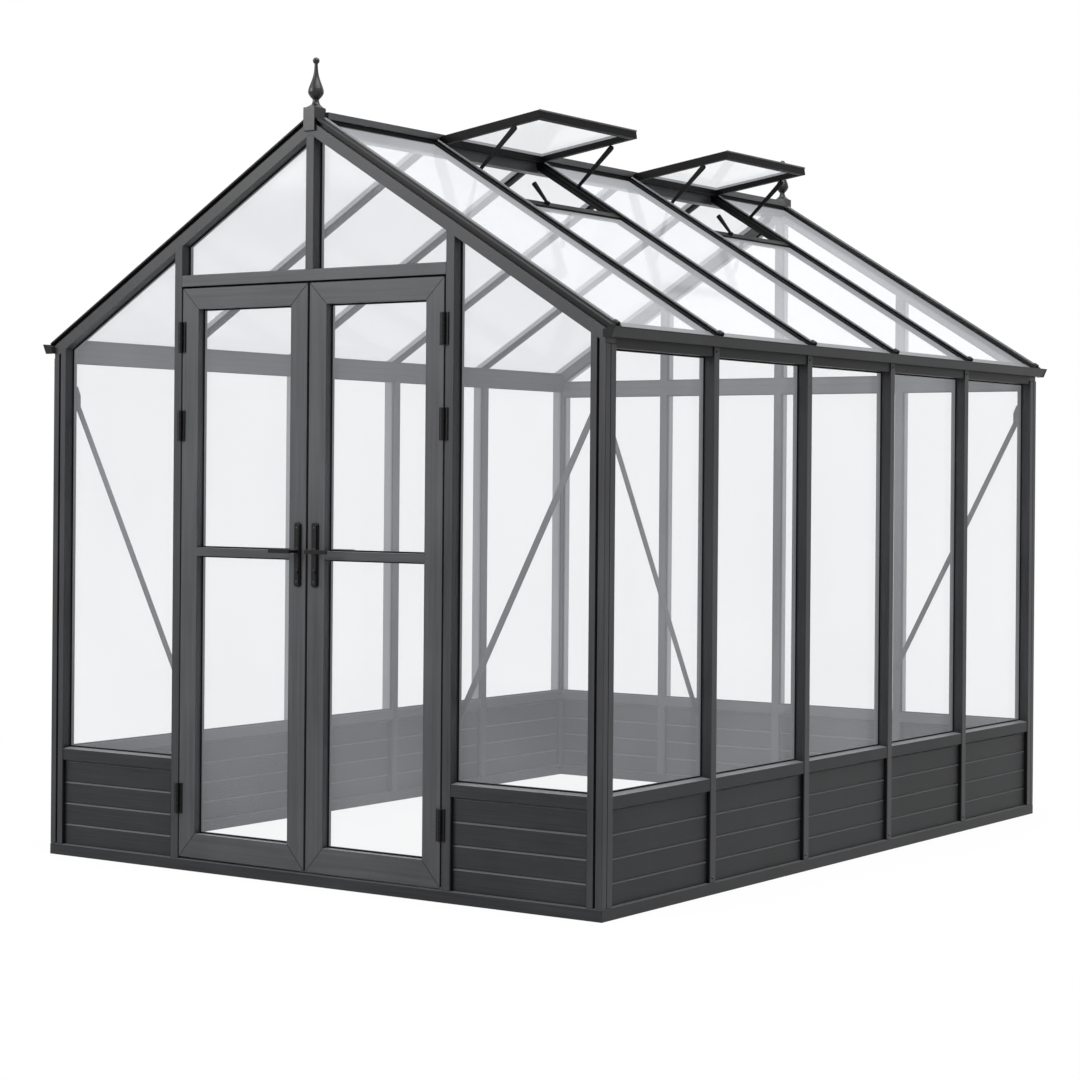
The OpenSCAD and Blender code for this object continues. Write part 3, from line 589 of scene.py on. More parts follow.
def box_profile(width: float, depth: float, chamfer: float) -> Array:
    """Rectangle about the origin with chamfered corners."""
    a, b = width / 2, depth / 2
    return np.array(
        [
            [a, b - chamfer],
            [a - chamfer, b],
            [chamfer - a, b],
            [-a, b - chamfer],
            [-a, chamfer - b],
            [chamfer - a, -b],
            [a - chamfer, -b],
            [a, chamfer - b],
        ]
    )


def dome_head(radius: float) -> Array:
    """Outline of a button head with a hexagon-wide socket, on a thin washer."""
    return np.array(
        [
            [0.0, 0.0],
            [1.35, 0.0],
            [1.35, 0.18],
            [1.0, 0.22],
            [0.96, 0.42],
            [0.78, 0.66],
            [0.48, 0.78],
            [0.42, 0.76],
            [0.38, 0.4],
            [0.0, 0.4],
        ]
    ) * radius


# Sub-assemblies


@dataclass
class WallGlazing:
    """Rubber beads of the fixed wall panes, dark seals of the base panels that also paint the shade of their
    reveals, and covers of the dado rails.
    """

    house: House
    bead_r: float = 2.6 * MM
    panel_set: float = 14 * MM
    panel_t: float = 24 * MM
    panel_top: float = 362 * MM
    seal_w: float = 11.5 * MM
    seal_t: float = 3 * MM
    seal_chamfer: float = 0.6 * MM
    cover_t: float = 2 * MM
    cover_chamfer: float = 0.5 * MM
    cover_end: float = 1 * MM
    cover_sink: float = 0.2 * MM

    def front_loops(self) -> list[Loop]:
        """Clear openings of the front gable."""
        h = self.house
        a, b = h.door_half + h.post_w, h.inner_x
        m, door = h.post_w / 2, h.door_half
        low = [(a, h.dado_top), (b, h.dado_top), (b, h.under_z(b)), (a, h.under_z(a))]
        top = [(m, h.lintel_top), (door, h.lintel_top), (door, h.under_z(door)), (m, h.under_z(m))]
        return [low, top, self.mirrored(low), self.mirrored(top)]

    def back_loops(self) -> list[Loop]:
        """Clear openings of the back gable."""
        h = self.house
        post = h.door_half + h.post_w / 2
        spans = [(h.post_w / 2, post - h.post_w / 2), (post + h.post_w / 2, h.inner_x)]
        tie_z = h.tie_top - h.tie_h
        loops: list[Loop] = []
        for a, b in spans:
            low = [(a, h.dado_top), (b, h.dado_top), (b, tie_z), (a, tie_z)]
            top = [(a, h.tie_top), (b, h.tie_top), (b, h.under_z(b)), (a, h.under_z(a))]
            loops += [low, top, self.mirrored(low), self.mirrored(top)]
        return loops

    def side_loops(self) -> list[Loop]:
        """Clear openings of a side wall."""
        h = self.house
        loops: list[Loop] = []
        for bay in range(h.side_bays):
            a = h.post_y(bay) + (h.frame_d if bay == 0 else h.post_w) / 2
            b = h.post_y(bay + 1) - (h.frame_d if bay == h.side_bays - 1 else h.post_w) / 2
            loops.append([(a, h.dado_top), (b, h.dado_top), (b, h.eave_h), (a, h.eave_h)])
        return loops

    @staticmethod
    def mirrored(loop: Loop) -> Loop:
        """The same loop on the other side of the middle, still counter-clockwise."""
        return [(-a, z) for a, z in reversed(loop)]

    def spans_on_dado(self, loops: list[Loop]) -> list[tuple[float, float]]:
        """Both ends along the wall of every opening that rests on the dado rail."""
        resting = [loop for loop in loops if min(z for _, z in loop) <= self.house.dado_top]
        return [(min(p[0] for p in loop), max(p[0] for p in loop)) for loop in resting]

    def panel_shadow_seals(self, wall: Wall, loops: list[Loop]) -> Surface:
        """Lines the sides and the head of every boarded opening, outside and inside its panel, with dark
        rubber strips that also stand in as painted shade in the reveals.

        Args:
            wall: the wall.
            loops: clear openings of its panes; a panel stands under each one that rests on the dado rail.

        Returns:
            The surface of all the strips.
        """
        h = self.house
        surface = Surface()
        low, high, half = h.base_rail_h, self.panel_top, self.seal_t / 2
        depths = (self.panel_set - self.seal_w / 2, self.panel_set + self.panel_t + self.seal_w / 2)
        strip = box_profile(self.seal_w, self.seal_t, self.seal_chamfer)
        for a, b in self.spans_on_dado(loops):
            for depth in depths:
                for line in (
                    [(a + half, depth, low), (a + half, depth, high)],
                    [(b - half, depth, low), (b - half, depth, high)],
                    [(a, depth, high - half), (b, depth, high - half)],
                ):
                    ends = h.on_wall(wall, np.array(line))
                    surface.add(carried_along(ends, h.inward(wall), strip), loop=False)
        return surface

    def beads(self, wall: Wall, loops: list[Loop], middle: float, thickness: float) -> Surface:
        """Lays a bead round every opening, outside and inside its pane.

        Args:
            wall: the wall.
            loops: its clear openings.
            middle: distance of the middle of the panes from the face of the wall.
            thickness: thickness of the panes.

        Returns:
            The surface of all the beads.
        """
        surface = Surface()
        stand = thickness / 2 + 0.8 * self.bead_r
        for loop in loops:
            flat = inset_loop(np.array(loop), self.bead_r)
            for inward in (middle - stand, middle + stand):
                local = np.stack([flat[:, 0], np.full(len(flat), inward), flat[:, 1]], axis=1)
                path = self.house.on_wall(wall, local)
                normal = unit(np.cross(path[1] - path[0], path[2] - path[1]))
                surface.add(carried_round(path, normal, bead_profile(self.bead_r)), loop=True)
        return surface

    def dado_covers(self, wall: Wall, loops: list[Loop]) -> Surface:
        """Flat cover strip on the inner face of the dado rail, under every pane that rests on it.

        Args:
            wall: the wall.
            loops: clear openings of its panes.

        Returns:
            The surface of all the strips.
        """
        h = self.house
        surface = Surface()
        tall = h.dado_top - self.panel_top - 2 * self.cover_t
        strip = box_profile(self.cover_t, tall, self.cover_chamfer)
        depth = h.frame_d + self.cover_t / 2 - self.cover_sink
        level = (h.dado_top + self.panel_top) / 2
        for a, b in self.spans_on_dado(loops):
            line = [(a + self.cover_end, depth, level), (b - self.cover_end, depth, level)]
            ends = h.on_wall(wall, np.array(line))
            surface.add(carried_along(ends, h.inward(wall), strip), loop=False)
        return surface

    def dress(self, rubber: bpy.types.Material, cover: bpy.types.Material) -> None:
        """Makes the beads of the panes, the dark seals of the panels that paint the shade of their reveals,
        and the dado covers of the four walls.
        """
        h = self.house
        sides = self.side_loops()
        walls = (
            (Wall.FRONT, self.front_loops(), h.gable_glass_set),
            (Wall.BACK, self.back_loops(), h.gable_glass_set),
            (Wall.LEFT, sides, h.side_glass_set),
            (Wall.RIGHT, sides, h.side_glass_set),
        )
        for wall, loops, middle in walls:
            panes = self.beads(wall, loops, middle, h.glass_t)
            panes.build(f"{wall.value}_glazing_beads", rubber, "house", "fittings")
            self.panel_shadow_seals(wall, loops).build(f"{wall.value}_panel_shadow_seals", rubber, "house", "fittings")
            self.dado_covers(wall, loops).build(f"{wall.value}_dado_covers", cover, "house", "frame_paint")


@dataclass
class Fasteners:
    """Button-head bolts where posts, braces and brackets are fixed."""

    house: House
    bolt_r: float = 4.5 * MM
    eave_up: float = 17 * MM
    foot_up: float = 16 * MM
    brace_high: float = 1690 * MM
    brace_low: float = 600 * MM
    brace_in: float = 64 * MM
    gable_end_in: float = 2 * MM
    side_end_in: float = 9 * MM

    def add_bolts(self, bolts: Surface, wall: Wall, places: list[Place], outward: bool) -> None:
        """Adds heads that stand on a wall.

        Args:
            bolts: the surface that gathers them.
            wall: the wall.
            places: distances along, inward and up.
            outward: whether the heads look out of the house.
        """
        axis = self.house.inward(wall) * (-1 if outward else 1)
        for foot in self.house.on_wall(wall, np.array(places)):
            bolts.add(turned(foot, axis, dome_head(self.bolt_r)), loop=False)

    def post_bolts(self) -> Surface:
        """Bolts at the head and the foot of every side post."""
        h = self.house
        heights = (h.eave_h + self.eave_up, h.base_rail_h + self.foot_up)
        places = [(h.post_y(i), 0.0, z) for z in heights for i in range(1, h.side_bays)]
        bolts = Surface()
        for wall in (Wall.LEFT, Wall.RIGHT):
            self.add_bolts(bolts, wall, places, outward=True)
        return bolts

    def brace_bolts(self) -> Surface:
        """Bolts at both ends of every brace."""
        h = self.house
        post, reach = h.door_half + h.post_w / 2, h.inner_x - self.gable_end_in
        corner = h.front_y + h.frame_d + self.side_end_in
        bolts = Surface()
        for wall, high, low in (
            (Wall.FRONT, -reach, -post),
            (Wall.FRONT, reach, post),
            (Wall.BACK, reach, post),
            (Wall.RIGHT, corner, h.post_y(1)),
        ):
            ends = [(high, self.brace_in, self.brace_high), (low, self.brace_in, self.brace_low)]
            self.add_bolts(bolts, wall, ends, outward=False)
        return bolts

    def dress(self, steel: bpy.types.Material) -> None:
        """Makes the bolts of the posts and of the braces."""
        self.post_bolts().build("post_bolts", steel, "house", "fittings")
        self.brace_bolts().build("brace_bolts", steel, "house", "fittings")


@dataclass
class RoofTrim:
    """Gutter lips and caps, eave flashings, ridge seals, and the rolls and round caps of the roof bars."""

    house: House
    gutter_out: float = 41 * MM
    lip_z: float = 1915 * MM
    lip_r: float = 2.6 * MM
    gutter_end: float = 15 * MM
    gutter_cap_t: float = 4 * MM
    gutter_cap_past: float = 1.5 * MM
    bar_over: float = 20 * MM
    glass_over: float = 24 * MM
    bar_w: float = 30 * MM
    bar_n: float = 61.6 * MM
    glass_n: float = 47.3 * MM
    cap_r: float = 11.5 * MM
    cap_lap: float = 1.6
    ridge_half: float = 33 * MM
    beam_half: float = 25 * MM
    bar_roll: float = 9 * MM
    verge_roll: float = 12 * MM
    verge_in: float = 38 * MM
    flashing_w: float = 58 * MM
    flashing_t: float = 3 * MM
    flashing_in: float = 2 * MM
    flashing_up: float = 1.6 * MM
    ridge_seal_t: float = 3 * MM

    @property
    def verges(self) -> list[float]:
        """Middles of the rolls on the front and back verges."""
        return [self.house.front_y + self.verge_in, self.house.back_y - self.verge_in]

    @property
    def bars(self) -> list[float]:
        """Middles of the roof bars."""
        return [self.house.post_y(i) for i in range(1, self.house.side_bays)]

    def on_slope(self, sign: int, x: float, y: float, n: float) -> Array:
        """A point at a distance from the middle and a height over the rafter underside, square to it."""
        h = self.house
        return np.array([sign * x, y, h.under_z(x) + n / math.cos(h.pitch)])

    def line(self, sign: int, y: float, n: float) -> Array:
        """Ends of a line up a slope, from over the gutter to beside the ridge cap."""
        low = self.on_slope(sign, self.house.half_w + self.bar_over - MM, y, n)
        return np.stack([low, self.on_slope(sign, self.ridge_half + MM, y, n)])

    def gutter_lips(self) -> Surface:
        """Rolled upper edge of both gutters."""
        h = self.house
        lips = Surface()
        ends_y = (h.front_y - self.gutter_end + MM, h.back_y + self.gutter_end - MM)
        for sign in (-1, 1):
            x = sign * (h.half_w + self.gutter_out - self.lip_r / 2)
            line = np.array([[x, y, self.lip_z] for y in ends_y])
            lips.add(carried_along(line, np.array([1.0, 0.0, 0.0]), bead_profile(self.lip_r)), loop=False)
        return lips

    def gutter_caps(self) -> Surface:
        """Moulded cap over each end of both gutters, a little larger than the trough."""
        h = self.house
        caps = Surface()
        # Outline in millimetres: out from the wall, and up.
        section = np.array([[-3, 1881], [27, 1881], [43, 1916], [38, 1916], [-3, 1908]]) * MM
        past = self.gutter_end + self.gutter_cap_past
        for sign in (-1, 1):
            for y in (h.front_y - past, h.back_y + past - self.gutter_cap_t):
                out = sign * (h.half_w + section[:, 0])
                ring = np.stack([out, np.full(len(section), y), section[:, 1]], axis=1)
                caps.add(plate(ring, np.array([0.0, self.gutter_cap_t, 0.0])), loop=False)
        return caps

    def bar_caps(self) -> Surface:
        """Moulded round cap on the lower end of every roof bar and verge."""
        h = self.house
        caps = Surface()
        # Outline in cap radii: radius, and height along the bar.
        knob = np.array([[0, 0], [0.94, 0], [1, 0.1], [1, 1.5], [0.9, 1.72], [0.6, 1.84], [0, 1.9]])
        end_x = h.half_w + self.bar_over
        for sign in (-1, 1):
            down = np.array([sign * math.cos(h.pitch), 0.0, -math.sin(h.pitch)])
            for y in self.bars + self.verges:
                end = self.on_slope(sign, end_x, y, self.bar_n + MM)
                foot = end - self.cap_lap * self.cap_r * down
                caps.add(turned(foot, down, knob * self.cap_r, 24), loop=False)
        return caps

    def rolls(self) -> Surface:
        """Rounded rolls along the tops of the roof bars and of the verges."""
        rolls = Surface()
        across = np.array([0.0, 1.0, 0.0])
        for sign in (-1, 1):
            for places, profile in (
                (self.bars, bead_profile(self.bar_roll, 16)),
                (self.verges, bead_profile(self.verge_roll, 20)),
            ):
                for y in places:
                    rolls.add(carried_along(self.line(sign, y, self.bar_n), across, profile), loop=False)
        return rolls

    def bay_span(self, bay: int) -> tuple[float, float]:
        """Clear run of a roof bay between its two bars."""
        h = self.house
        start = h.front_y + h.frame_d if bay == 0 else h.post_y(bay) + self.bar_w / 2
        end = h.back_y - h.frame_d if bay == h.side_bays - 1 else h.post_y(bay + 1) - self.bar_w / 2
        return start + MM, end - MM

    def strips(self, low: tuple[float, float], high: tuple[float, float], width: float) -> Surface:
        """Flat strips in every bay of both slopes.

        Args:
            low: distance from the middle and height over the slope of the lower edge.
            high: the same of the upper edge.
            width: thickness of the strip.

        Returns:
            The surface of all the strips.
        """
        strips = Surface()
        for sign in (-1, 1):
            for bay in range(self.house.side_bays):
                start, end = self.bay_span(bay)
                edges = [self.on_slope(sign, x, start, n) for x, n in (low, high)]
                middle, across = (edges[0] + edges[1]) / 2, edges[1] - edges[0]
                ends = np.stack([middle, middle + np.array([0.0, end - start, 0.0])])
                section = box_profile(float(np.linalg.norm(across)), width, width / 4)
                strips.add(carried_along(ends, unit(across), section), loop=False)
        return strips

    def flashings(self) -> Surface:
        """Flat strip on the lower edge of every roof pane, between its two bars."""
        foot = self.house.half_w + self.glass_over - self.flashing_in
        head = foot - self.flashing_w * math.cos(self.house.pitch)
        n = self.glass_n + self.flashing_up
        return self.strips((foot, n), (head, n), self.flashing_t)

    def ridge_seals(self) -> Surface:
        """Rubber strip on the side of the ridge beam, over the head of every roof pane."""
        x = self.beam_half + self.ridge_seal_t / 2
        return self.strips((x, self.glass_n + self.ridge_seal_t), (x, self.bar_n), self.ridge_seal_t)

    def dress(self, coats: dict[str, bpy.types.Material]) -> None:
        """Makes the lips, flashings, rolls, caps and ridge seals of both slopes."""
        flashing, roll, capping, rubber = (coats[name] for name in ("flashing", "roll", "capping", "rubber"))
        # The lips take the dark capping coat: a painted shadow line between the flashing and the gutter face.
        self.gutter_lips().build("gutter_lips", capping, "house", "frame_paint")
        self.flashings().build("eave_flashings", flashing, "house", "frame_paint")
        self.rolls().build("roof_bar_rolls", roll, "house", "frame_paint")
        self.bar_caps().build("roof_bar_caps", capping, "house", "fittings")
        self.gutter_caps().build("gutter_end_caps", capping, "house", "fittings")
        self.ridge_seals().build("ridge_seals", rubber, "house", "fittings")


@dataclass
class VentTrim:
    """Pale bead along the free edge of each open roof vent: a painted highlight on its lit edge."""

    house: House
    hinge_x: float = 40.3 * MM
    hinge_z: float = 2682.8 * MM
    length: float = 450 * MM
    tilt: float = math.radians(8.5)
    side_gap: float = 8.5 * MM
    top: float = 10 * MM
    edge_r: float = 4 * MM

    def on_vent(self, y: float, out: float, up: float) -> Array:
        """A point of a vent: hinge + out along the tilted frame + up square to it."""
        x = self.hinge_x + out * math.cos(self.tilt) - up * math.sin(self.tilt)
        return np.array([x, y, self.hinge_z + out * math.sin(self.tilt) + up * math.cos(self.tilt)])

    def dress(self, pale: bpy.types.Material) -> None:
        """Makes the pale highlight beads of both vents."""
        h = self.house
        edges = Surface()
        for bay in range(2, h.side_bays + 1, 2):
            span = (h.post_y(bay - 1) + self.side_gap, h.post_y(bay) - self.side_gap)
            line = np.stack([self.on_vent(y, self.length, self.top - self.edge_r / 2) for y in span])
            edges.add(carried_along(line, np.array([0.0, 0.0, 1.0]), bead_profile(self.edge_r)), loop=False)
        edges.build("vent_highlight_edges", pale, "house", "frame_paint")


@dataclass
class FinialSkirts:
    """Sloped skirt between the square block of each finial and its turned foot."""

    house: House
    block_half: float = 25 * MM
    block_out: float = 8 * MM
    block_top: float = 2715.46 * MM
    height: float = 13 * MM
    neck_r: float = 15.3 * MM
    steps: int = 48
    rings: int = 7
    sag: float = 0.8

    def skirt(self, wall: Wall) -> Array:
        """Blends a rectangle into a circle: point = rectangle + s^sag * (circle - rectangle), at height * s.

        Args:
            wall: the gable that carries the finial.

        Returns:
            A grid of rings from the middle of the block up to the middle of the neck.
        """
        h = self.house
        back = h.frame_d / 2 + self.block_half
        half = np.array([self.block_half, (back + self.block_out) / 2])
        middle = np.array([0.0, (back - self.block_out) / 2])
        angle = np.linspace(0, 2 * math.pi, self.steps, endpoint=False) + math.pi / self.steps
        spoke = np.stack([np.cos(angle), np.sin(angle)], axis=1)
        square = middle + half * spoke / np.abs(spoke).max(axis=1, keepdims=True)
        circle = np.array([0.0, h.frame_d / 2]) + self.neck_r * spoke
        share = np.linspace(0, 1, self.rings)[:, None, None]
        plan = square + (circle - square) * share**self.sag
        rise = np.broadcast_to(self.block_top - MM + (self.height + MM) * share, plan.shape[:2] + (1,))
        rings = np.concatenate([plan, rise], axis=2)
        foot = np.broadcast_to(rings[:1].mean(axis=1, keepdims=True), rings[:1].shape)
        head = np.broadcast_to(rings[-1:].mean(axis=1, keepdims=True), rings[-1:].shape)
        return h.on_wall(wall, np.concatenate([foot, rings, head]))

    def dress(self, coat: bpy.types.Material) -> None:
        """Makes the skirts of both finials."""
        skirts = Surface()
        for wall in (Wall.FRONT, Wall.BACK):
            skirts.add(self.skirt(wall), loop=False)
        skirts.build("finial_skirts", coat, "house", "frame_paint")


@dataclass
class DoorLeaf:
    """Seals, beads and lock furniture of one door leaf."""

    house: House
    sign: int
    body: str
    hinge_gap: float = 6 * MM
    head_gap: float = 8 * MM
    meet_gap: float = 10 * MM
    stile_w: float = 75 * MM
    foot_h: float = 86 * MM
    z0: float = 50 * MM
    midbar_z: float = 1138 * MM
    midbar_h: float = 30 * MM
    depth: float = 48 * MM
    glass_set: float = 34 * MM
    handle_z: float = 1166 * MM
    handle_inset: float = 34 * MM
    plate_out: float = 10 * MM
    lock_drop: float = 72 * MM
    screw_up: float = 82 * MM
    screw_drop: float = 107 * MM
    screw_r: float = 2.6 * MM
    bead_r: float = 2.6 * MM
    seal_w: float = 14 * MM
    seal_t: float = 3 * MM
    seal_in: float = 1.4 * MM
    seal_end: float = 4 * MM
    seal_depth: float = 0.7

    @property
    def z1(self) -> float:
        """Upper edge of the leaf."""
        return self.house.lintel_top - self.house.lintel_h - self.head_gap

    def panes(self) -> list[Loop]:
        """Clear openings of the leaf, counter-clockwise."""
        a = self.meet_gap / 2 + self.stile_w
        b = self.house.door_half - self.hinge_gap - self.stile_w
        lower = (self.z0 + self.foot_h, self.midbar_z)
        rows = [lower, (self.midbar_z + self.midbar_h, self.z1 - self.stile_w)]
        loops: list[Loop] = [[(a, low), (b, low), (b, high), (a, high)] for low, high in rows]
        return loops if self.sign > 0 else [WallGlazing.mirrored(loop) for loop in loops]

    def mitre_seams(self) -> Surface:
        """Draws the joint line of each mitred corner on both faces of the leaf.

        Returns:
            The surface of the eight thin seams.
        """
        a, b = self.sign * self.meet_gap / 2, self.sign * (self.house.door_half - self.hinge_gap)
        inset = self.sign * self.stile_w
        corners = [(a, inset, self.z0, self.foot_h), (b, -inset, self.z0, self.foot_h)]
        corners += [(a, inset, self.z1, -self.stile_w), (b, -inset, self.z1, -self.stile_w)]
        seams = Surface()
        seam = box_profile(0.8 * MM, 1.8 * MM, 0.2 * MM)
        for y in (self.house.front_y, self.house.front_y + self.depth):
            for x, across, z, up in corners:
                line = np.array([[x, y, z], [x + across, y, z + up]])
                seams.add(carried_along(line, np.array([0.0, 1.0, 0.0]), seam), loop=False)
        return seams

    def meeting_seal(self) -> Surface:
        """Rubber strip along the meeting edge of the leaf."""
        x = self.sign * (self.meet_gap / 2 - self.seal_in)
        y = self.house.front_y + self.seal_depth * self.depth
        line = np.array([[x, y, self.z0 + self.seal_end], [x, y, self.z1 - self.seal_end]])
        strip = box_profile(self.seal_t, self.seal_w, 0.8 * MM)
        seal = Surface()
        seal.add(carried_along(line, np.array([1.0, 0.0, 0.0]), strip), loop=False)
        return seal

    def spindles(self) -> list[tuple[Array, Array]]:
        """Spindle point on the outer and the inner handle plate, each with the way out of the plate."""
        x = self.sign * (self.meet_gap / 2 + self.handle_inset)
        outer = self.house.front_y - self.plate_out
        inner = self.house.front_y + self.depth + self.plate_out
        return [
            (np.array([x, y, self.handle_z]), np.array([0.0, out, 0.0]))
            for y, out in ((outer, -1.0), (inner, 1.0))
        ]

    def locks(self) -> Surface:
        """Lock cylinder and spindle collar on both handle plates."""
        # Outlines in millimetres: radius, and height over the plate.
        barrel = np.array([[0, 0], [8.5, 0], [8.5, 2.2], [7.6, 3.0], [3.2, 3.0], [2.6, 1.6], [0, 1.6]])
        angle = np.linspace(0, 2 * math.pi, 12, endpoint=False)
        collar = np.stack([10 + 2.4 * np.cos(angle), 1.2 + 1.6 * np.sin(angle)], axis=1)
        drop = np.array([0.0, 0.0, self.lock_drop])
        locks = Surface()
        for spindle, axis in self.spindles():
            locks.add(turned(spindle - drop, axis, barrel * MM, 28), loop=False)
            locks.add(turned(spindle, axis, collar * MM, 32), loop=True)
        return locks

    def plate_screws(self) -> Surface:
        """Screws at the head and the foot of both handle plates."""
        screws = Surface()
        for spindle, axis in self.spindles():
            for up in (self.screw_up, -self.screw_drop):
                place = spindle + np.array([0.0, 0.0, up])
                screws.add(turned(place, axis, dome_head(self.screw_r)), loop=False)
        return screws

    def dress(self, rubber: bpy.types.Material, steel: bpy.types.Material, black: bpy.types.Material) -> None:
        """Makes the beads, the meeting seal, the mitre seams, the lock cylinders and the plate screws."""
        h = self.house
        beads = WallGlazing(h, self.bead_r).beads(Wall.FRONT, self.panes(), self.glass_set, h.glass_t)
        for piece, surface, finish in (
            ("glazing_beads", beads, rubber),
            ("meeting_seal", self.meeting_seal(), rubber),
            ("mitre_seams", self.mitre_seams(), rubber),
            ("lock_cylinders", self.locks(), black),
            ("plate_screws", self.plate_screws(), steel),
        ):
            surface.build(f"{self.body}_{piece}", finish, self.body, "fittings")


@dataclass
class Finishes:
    """Materials of the solids, node by node."""

    frame: dict

    def dress(self) -> dict[str, bpy.types.Material]:
        """Gives every solid its material.

        Returns:
            The materials by their short names.
        """
        coats = {name: finish.material() for name, finish in FINISHES.items()}
        for name, solid in self.frame["nodes"].items():
            coat = coats[self.choice(name)]
            if not solid.material_slots:
                solid.data.materials.append(coat)
            for place in solid.material_slots:
                place.material = coat
            LOG.info("%s: %s", name, coat.name)
        return coats

    @staticmethod
    def choice(name: str) -> str:
        """Short name of the finish of a solid."""
        if "glass" in name:
            return "roof_glass" if "roof" in name or "vent" in name else "glass"
        if "panels" in name or "dado" in name:
            return "panel"
        for finish, words in (
            ("black", ("hinges", "plates", "lever")),
            ("finial", ("finials",)),
            ("vent", ("vent",)),
            ("flashing", ("ridge",)),
            ("rail", ("gutters",)),
            ("capping", ("verge", "roof_bars")),
            ("eave", ("eave_beams",)),
            ("stile", ("door_stiles", "back_wall_posts")),
            ("door_rail", ("door_rails", "lintel", "tie_rail")),
            ("post", ("posts", "mullion")),
            ("rail", ("rails",)),
        ):
            if any(word in name for word in words):
                return finish
        return "bar"


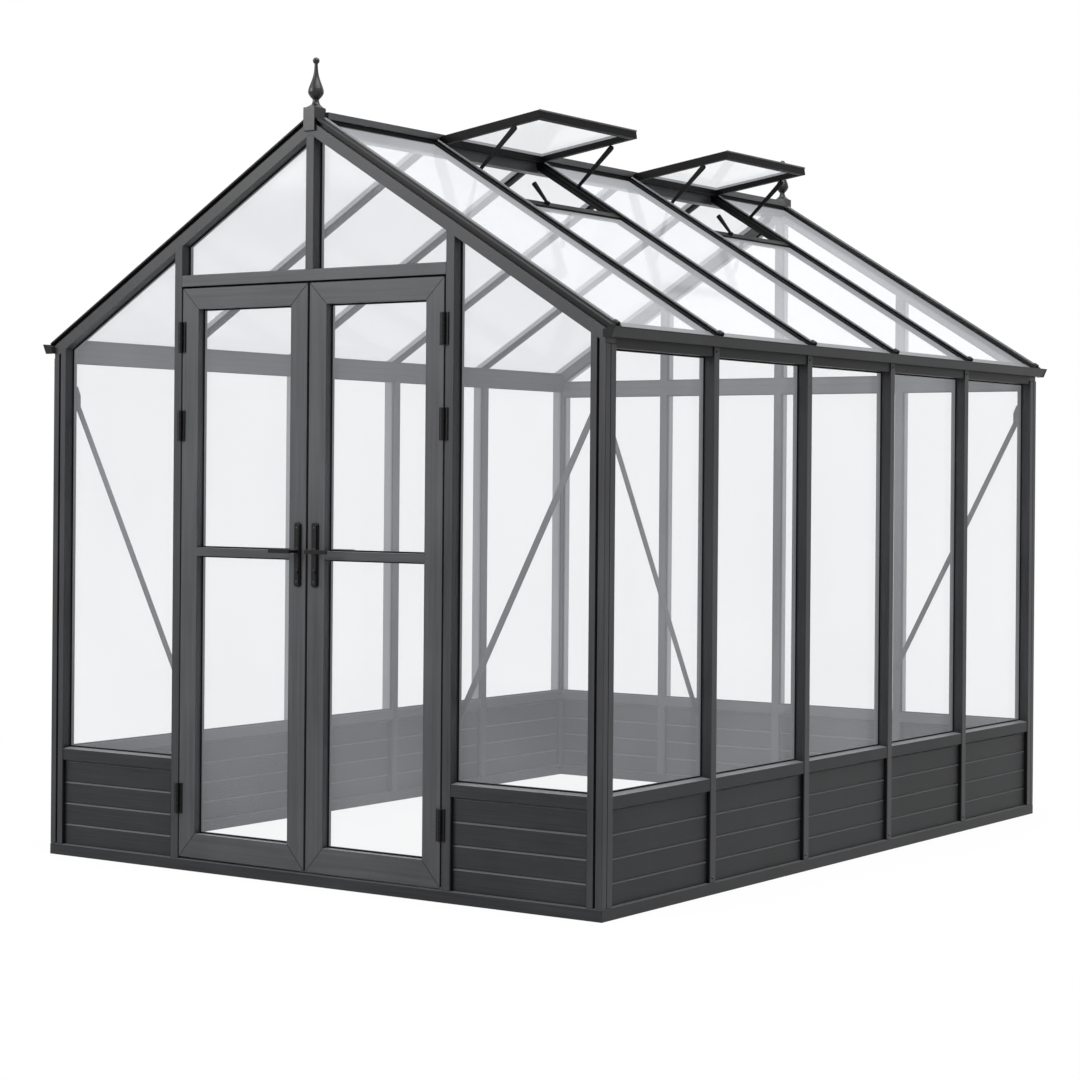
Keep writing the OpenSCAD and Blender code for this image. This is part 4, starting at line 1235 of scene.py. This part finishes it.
@dataclass
class Studio:
    """White floor and background, soft light, and the camera of the picture."""

    floor_half: float = 60.0
    camera_at: Place = (5.6909, -8.5117, 1.4217)
    camera_yaw: float = 34.549
    camera_lean: float = -0.464
    focal_px: float = 2538.3
    rise_px: float = -60.14
    image_px: float = 1080.0

    def white_rays(self, tree: bpy.types.NodeTree) -> bpy.types.NodeSocket:
        """One for rays that show the background: seen, mirrored or through glass.

        Args:
            tree: the node tree to add to.

        Returns:
            The socket that holds the number.
        """
        path = add_node(tree, "ShaderNodeLightPath", {}).outputs
        shown = path["Is Camera Ray"]
        for other in ("Is Glossy Ray", "Is Transmission Ray"):
            node = add_node(tree, "ShaderNodeMath", {0: shown, 1: path[other]}, operation="MAXIMUM")
            shown = node.outputs[0]
        return shown

    def floor(self) -> None:
        """A wide white floor that keeps a faint shadow."""
        made = bpy.data.materials.new("white_floor")
        made.use_nodes = True
        tree = made.node_tree
        tree.nodes.clear()
        seen = self.white_rays(tree)
        place = add_node(tree, "ShaderNodeTexCoord", {}).outputs["Object"]
        away = add_node(tree, "ShaderNodeVectorMath", {0: place}, operation="LENGTH")
        white_part = add_node(
            tree,
            "ShaderNodeMapRange",
            {"Value": away.outputs["Value"], "From Min": 1.6, "From Max": 4.5, "To Min": 0.94, "To Max": 1.0},
        )
        share = add_node(
            tree, "ShaderNodeMath", {0: seen, 1: white_part.outputs["Result"]}, operation="MULTIPLY"
        )
        matt = add_node(tree, "ShaderNodeBsdfDiffuse", {"Color": linear("#f4f4f4")})
        white = add_node(tree, "ShaderNodeEmission", {"Color": (1, 1, 1, 1), "Strength": 1.0})
        mix = add_node(
            tree, "ShaderNodeMixShader", {0: share.outputs[0], 1: matt.outputs[0], 2: white.outputs[0]}
        )
        add_node(tree, "ShaderNodeOutputMaterial", {"Surface": mix.outputs[0]})
        mesh = bpy.data.meshes.new("floor")
        far = self.floor_half
        corners = [(-far, -far, 0), (far, -far, 0), (far, far, 0), (-far, far, 0)]
        mesh.from_pydata(corners, [], [(0, 1, 2, 3)])
        mesh.materials.append(made)
        floor = bpy.data.objects.new("floor", mesh)
        bpy.context.scene.collection.objects.link(floor)

    def world(self) -> None:
        """White background with a plain level of light from all round."""
        sky = bpy.data.worlds.new("white_studio")
        bpy.context.scene.world = sky
        sky.use_nodes = True
        tree = sky.node_tree
        tree.nodes.clear()
        plain = add_node(tree, "ShaderNodeBackground", {"Color": (1, 1, 1, 1), "Strength": 0.33})
        white = add_node(tree, "ShaderNodeBackground", {"Color": (1, 1, 1, 1), "Strength": 1.0})
        mix = add_node(
            tree, "ShaderNodeMixShader", {0: self.white_rays(tree), 1: plain.outputs[0], 2: white.outputs[0]}
        )
        add_node(tree, "ShaderNodeOutputWorld", {"Surface": mix.outputs[0]})

    def lamp(
        self, name: str, at: Place, aim: Place, size: float, watts: float, mirrored: bool = True
    ) -> None:
        """A square soft lamp.

        Args:
            name: name of the lamp.
            at: its place.
            aim: the point it looks at.
            size: edge of the square.
            watts: its power.
            mirrored: whether glossy surfaces show it.
        """
        light = bpy.data.lights.new(name, "AREA")
        light.size = size
        light.energy = watts
        lamp = bpy.data.objects.new(name, light)
        bpy.context.scene.collection.objects.link(lamp)
        lamp.location = at
        lamp.visible_glossy = mirrored
        away = np.array(at) - np.array(aim)
        lean = math.atan2(math.hypot(away[0], away[1]), away[2])
        lamp.rotation_euler = (lean, 0.0, math.atan2(away[0], -away[1]))

    def camera(self) -> None:
        """The camera at the angle of the picture, leaned a little, with its frame shifted to the house."""
        lens = bpy.data.cameras.new("camera")
        lens.sensor_width = 36.0
        lens.lens = self.focal_px / self.image_px * lens.sensor_width
        lens.shift_y = self.rise_px / self.image_px
        lens.clip_end = 200.0
        eye = bpy.data.objects.new("camera", lens)
        bpy.context.scene.collection.objects.link(eye)
        eye.location = self.camera_at
        eye.rotation_euler = (math.radians(90), math.radians(self.camera_lean), math.radians(self.camera_yaw))
        bpy.context.scene.camera = eye

    def build(self) -> None:
        """Sets up everything round the house."""
        self.floor()
        self.world()
        self.lamp("key_lamp", (-6.0, -10.0, 6.5), (0.0, 0.0, 1.2), 6.0, 900.0)
        self.lamp("top_lamp", (2.0, -1.0, 8.0), (0.0, 0.0, 1.0), 6.0, 700.0)
        self.lamp("back_lamp", (-4.0, 10.0, 5.5), (0.0, 0.0, 1.2), 6.0, 500.0, mirrored=False)
        self.camera()
        bpy.context.scene.view_settings.view_transform = "Standard"


def main() -> None:
    """Loads the solids, dresses them and adds the pieces that they lack."""
    logging.basicConfig(level=logging.INFO, format="%(name)s: %(message)s")
    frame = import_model()
    house = House()
    Studio().build()
    coats = Finishes(frame).dress()
    WallGlazing(house).dress(coats["rubber"], coats["flashing"])
    Fasteners(house).dress(coats["steel"])
    RoofTrim(house).dress(coats)
    VentTrim(house).dress(coats["flashing"])
    FinialSkirts(house).dress(coats["finial"])
    for sign, body in ((-1, "left_door"), (1, "right_door")):
        DoorLeaf(house, sign, body).dress(coats["rubber"], coats["steel"], coats["black"])


if __name__ == "__main__":
    main()
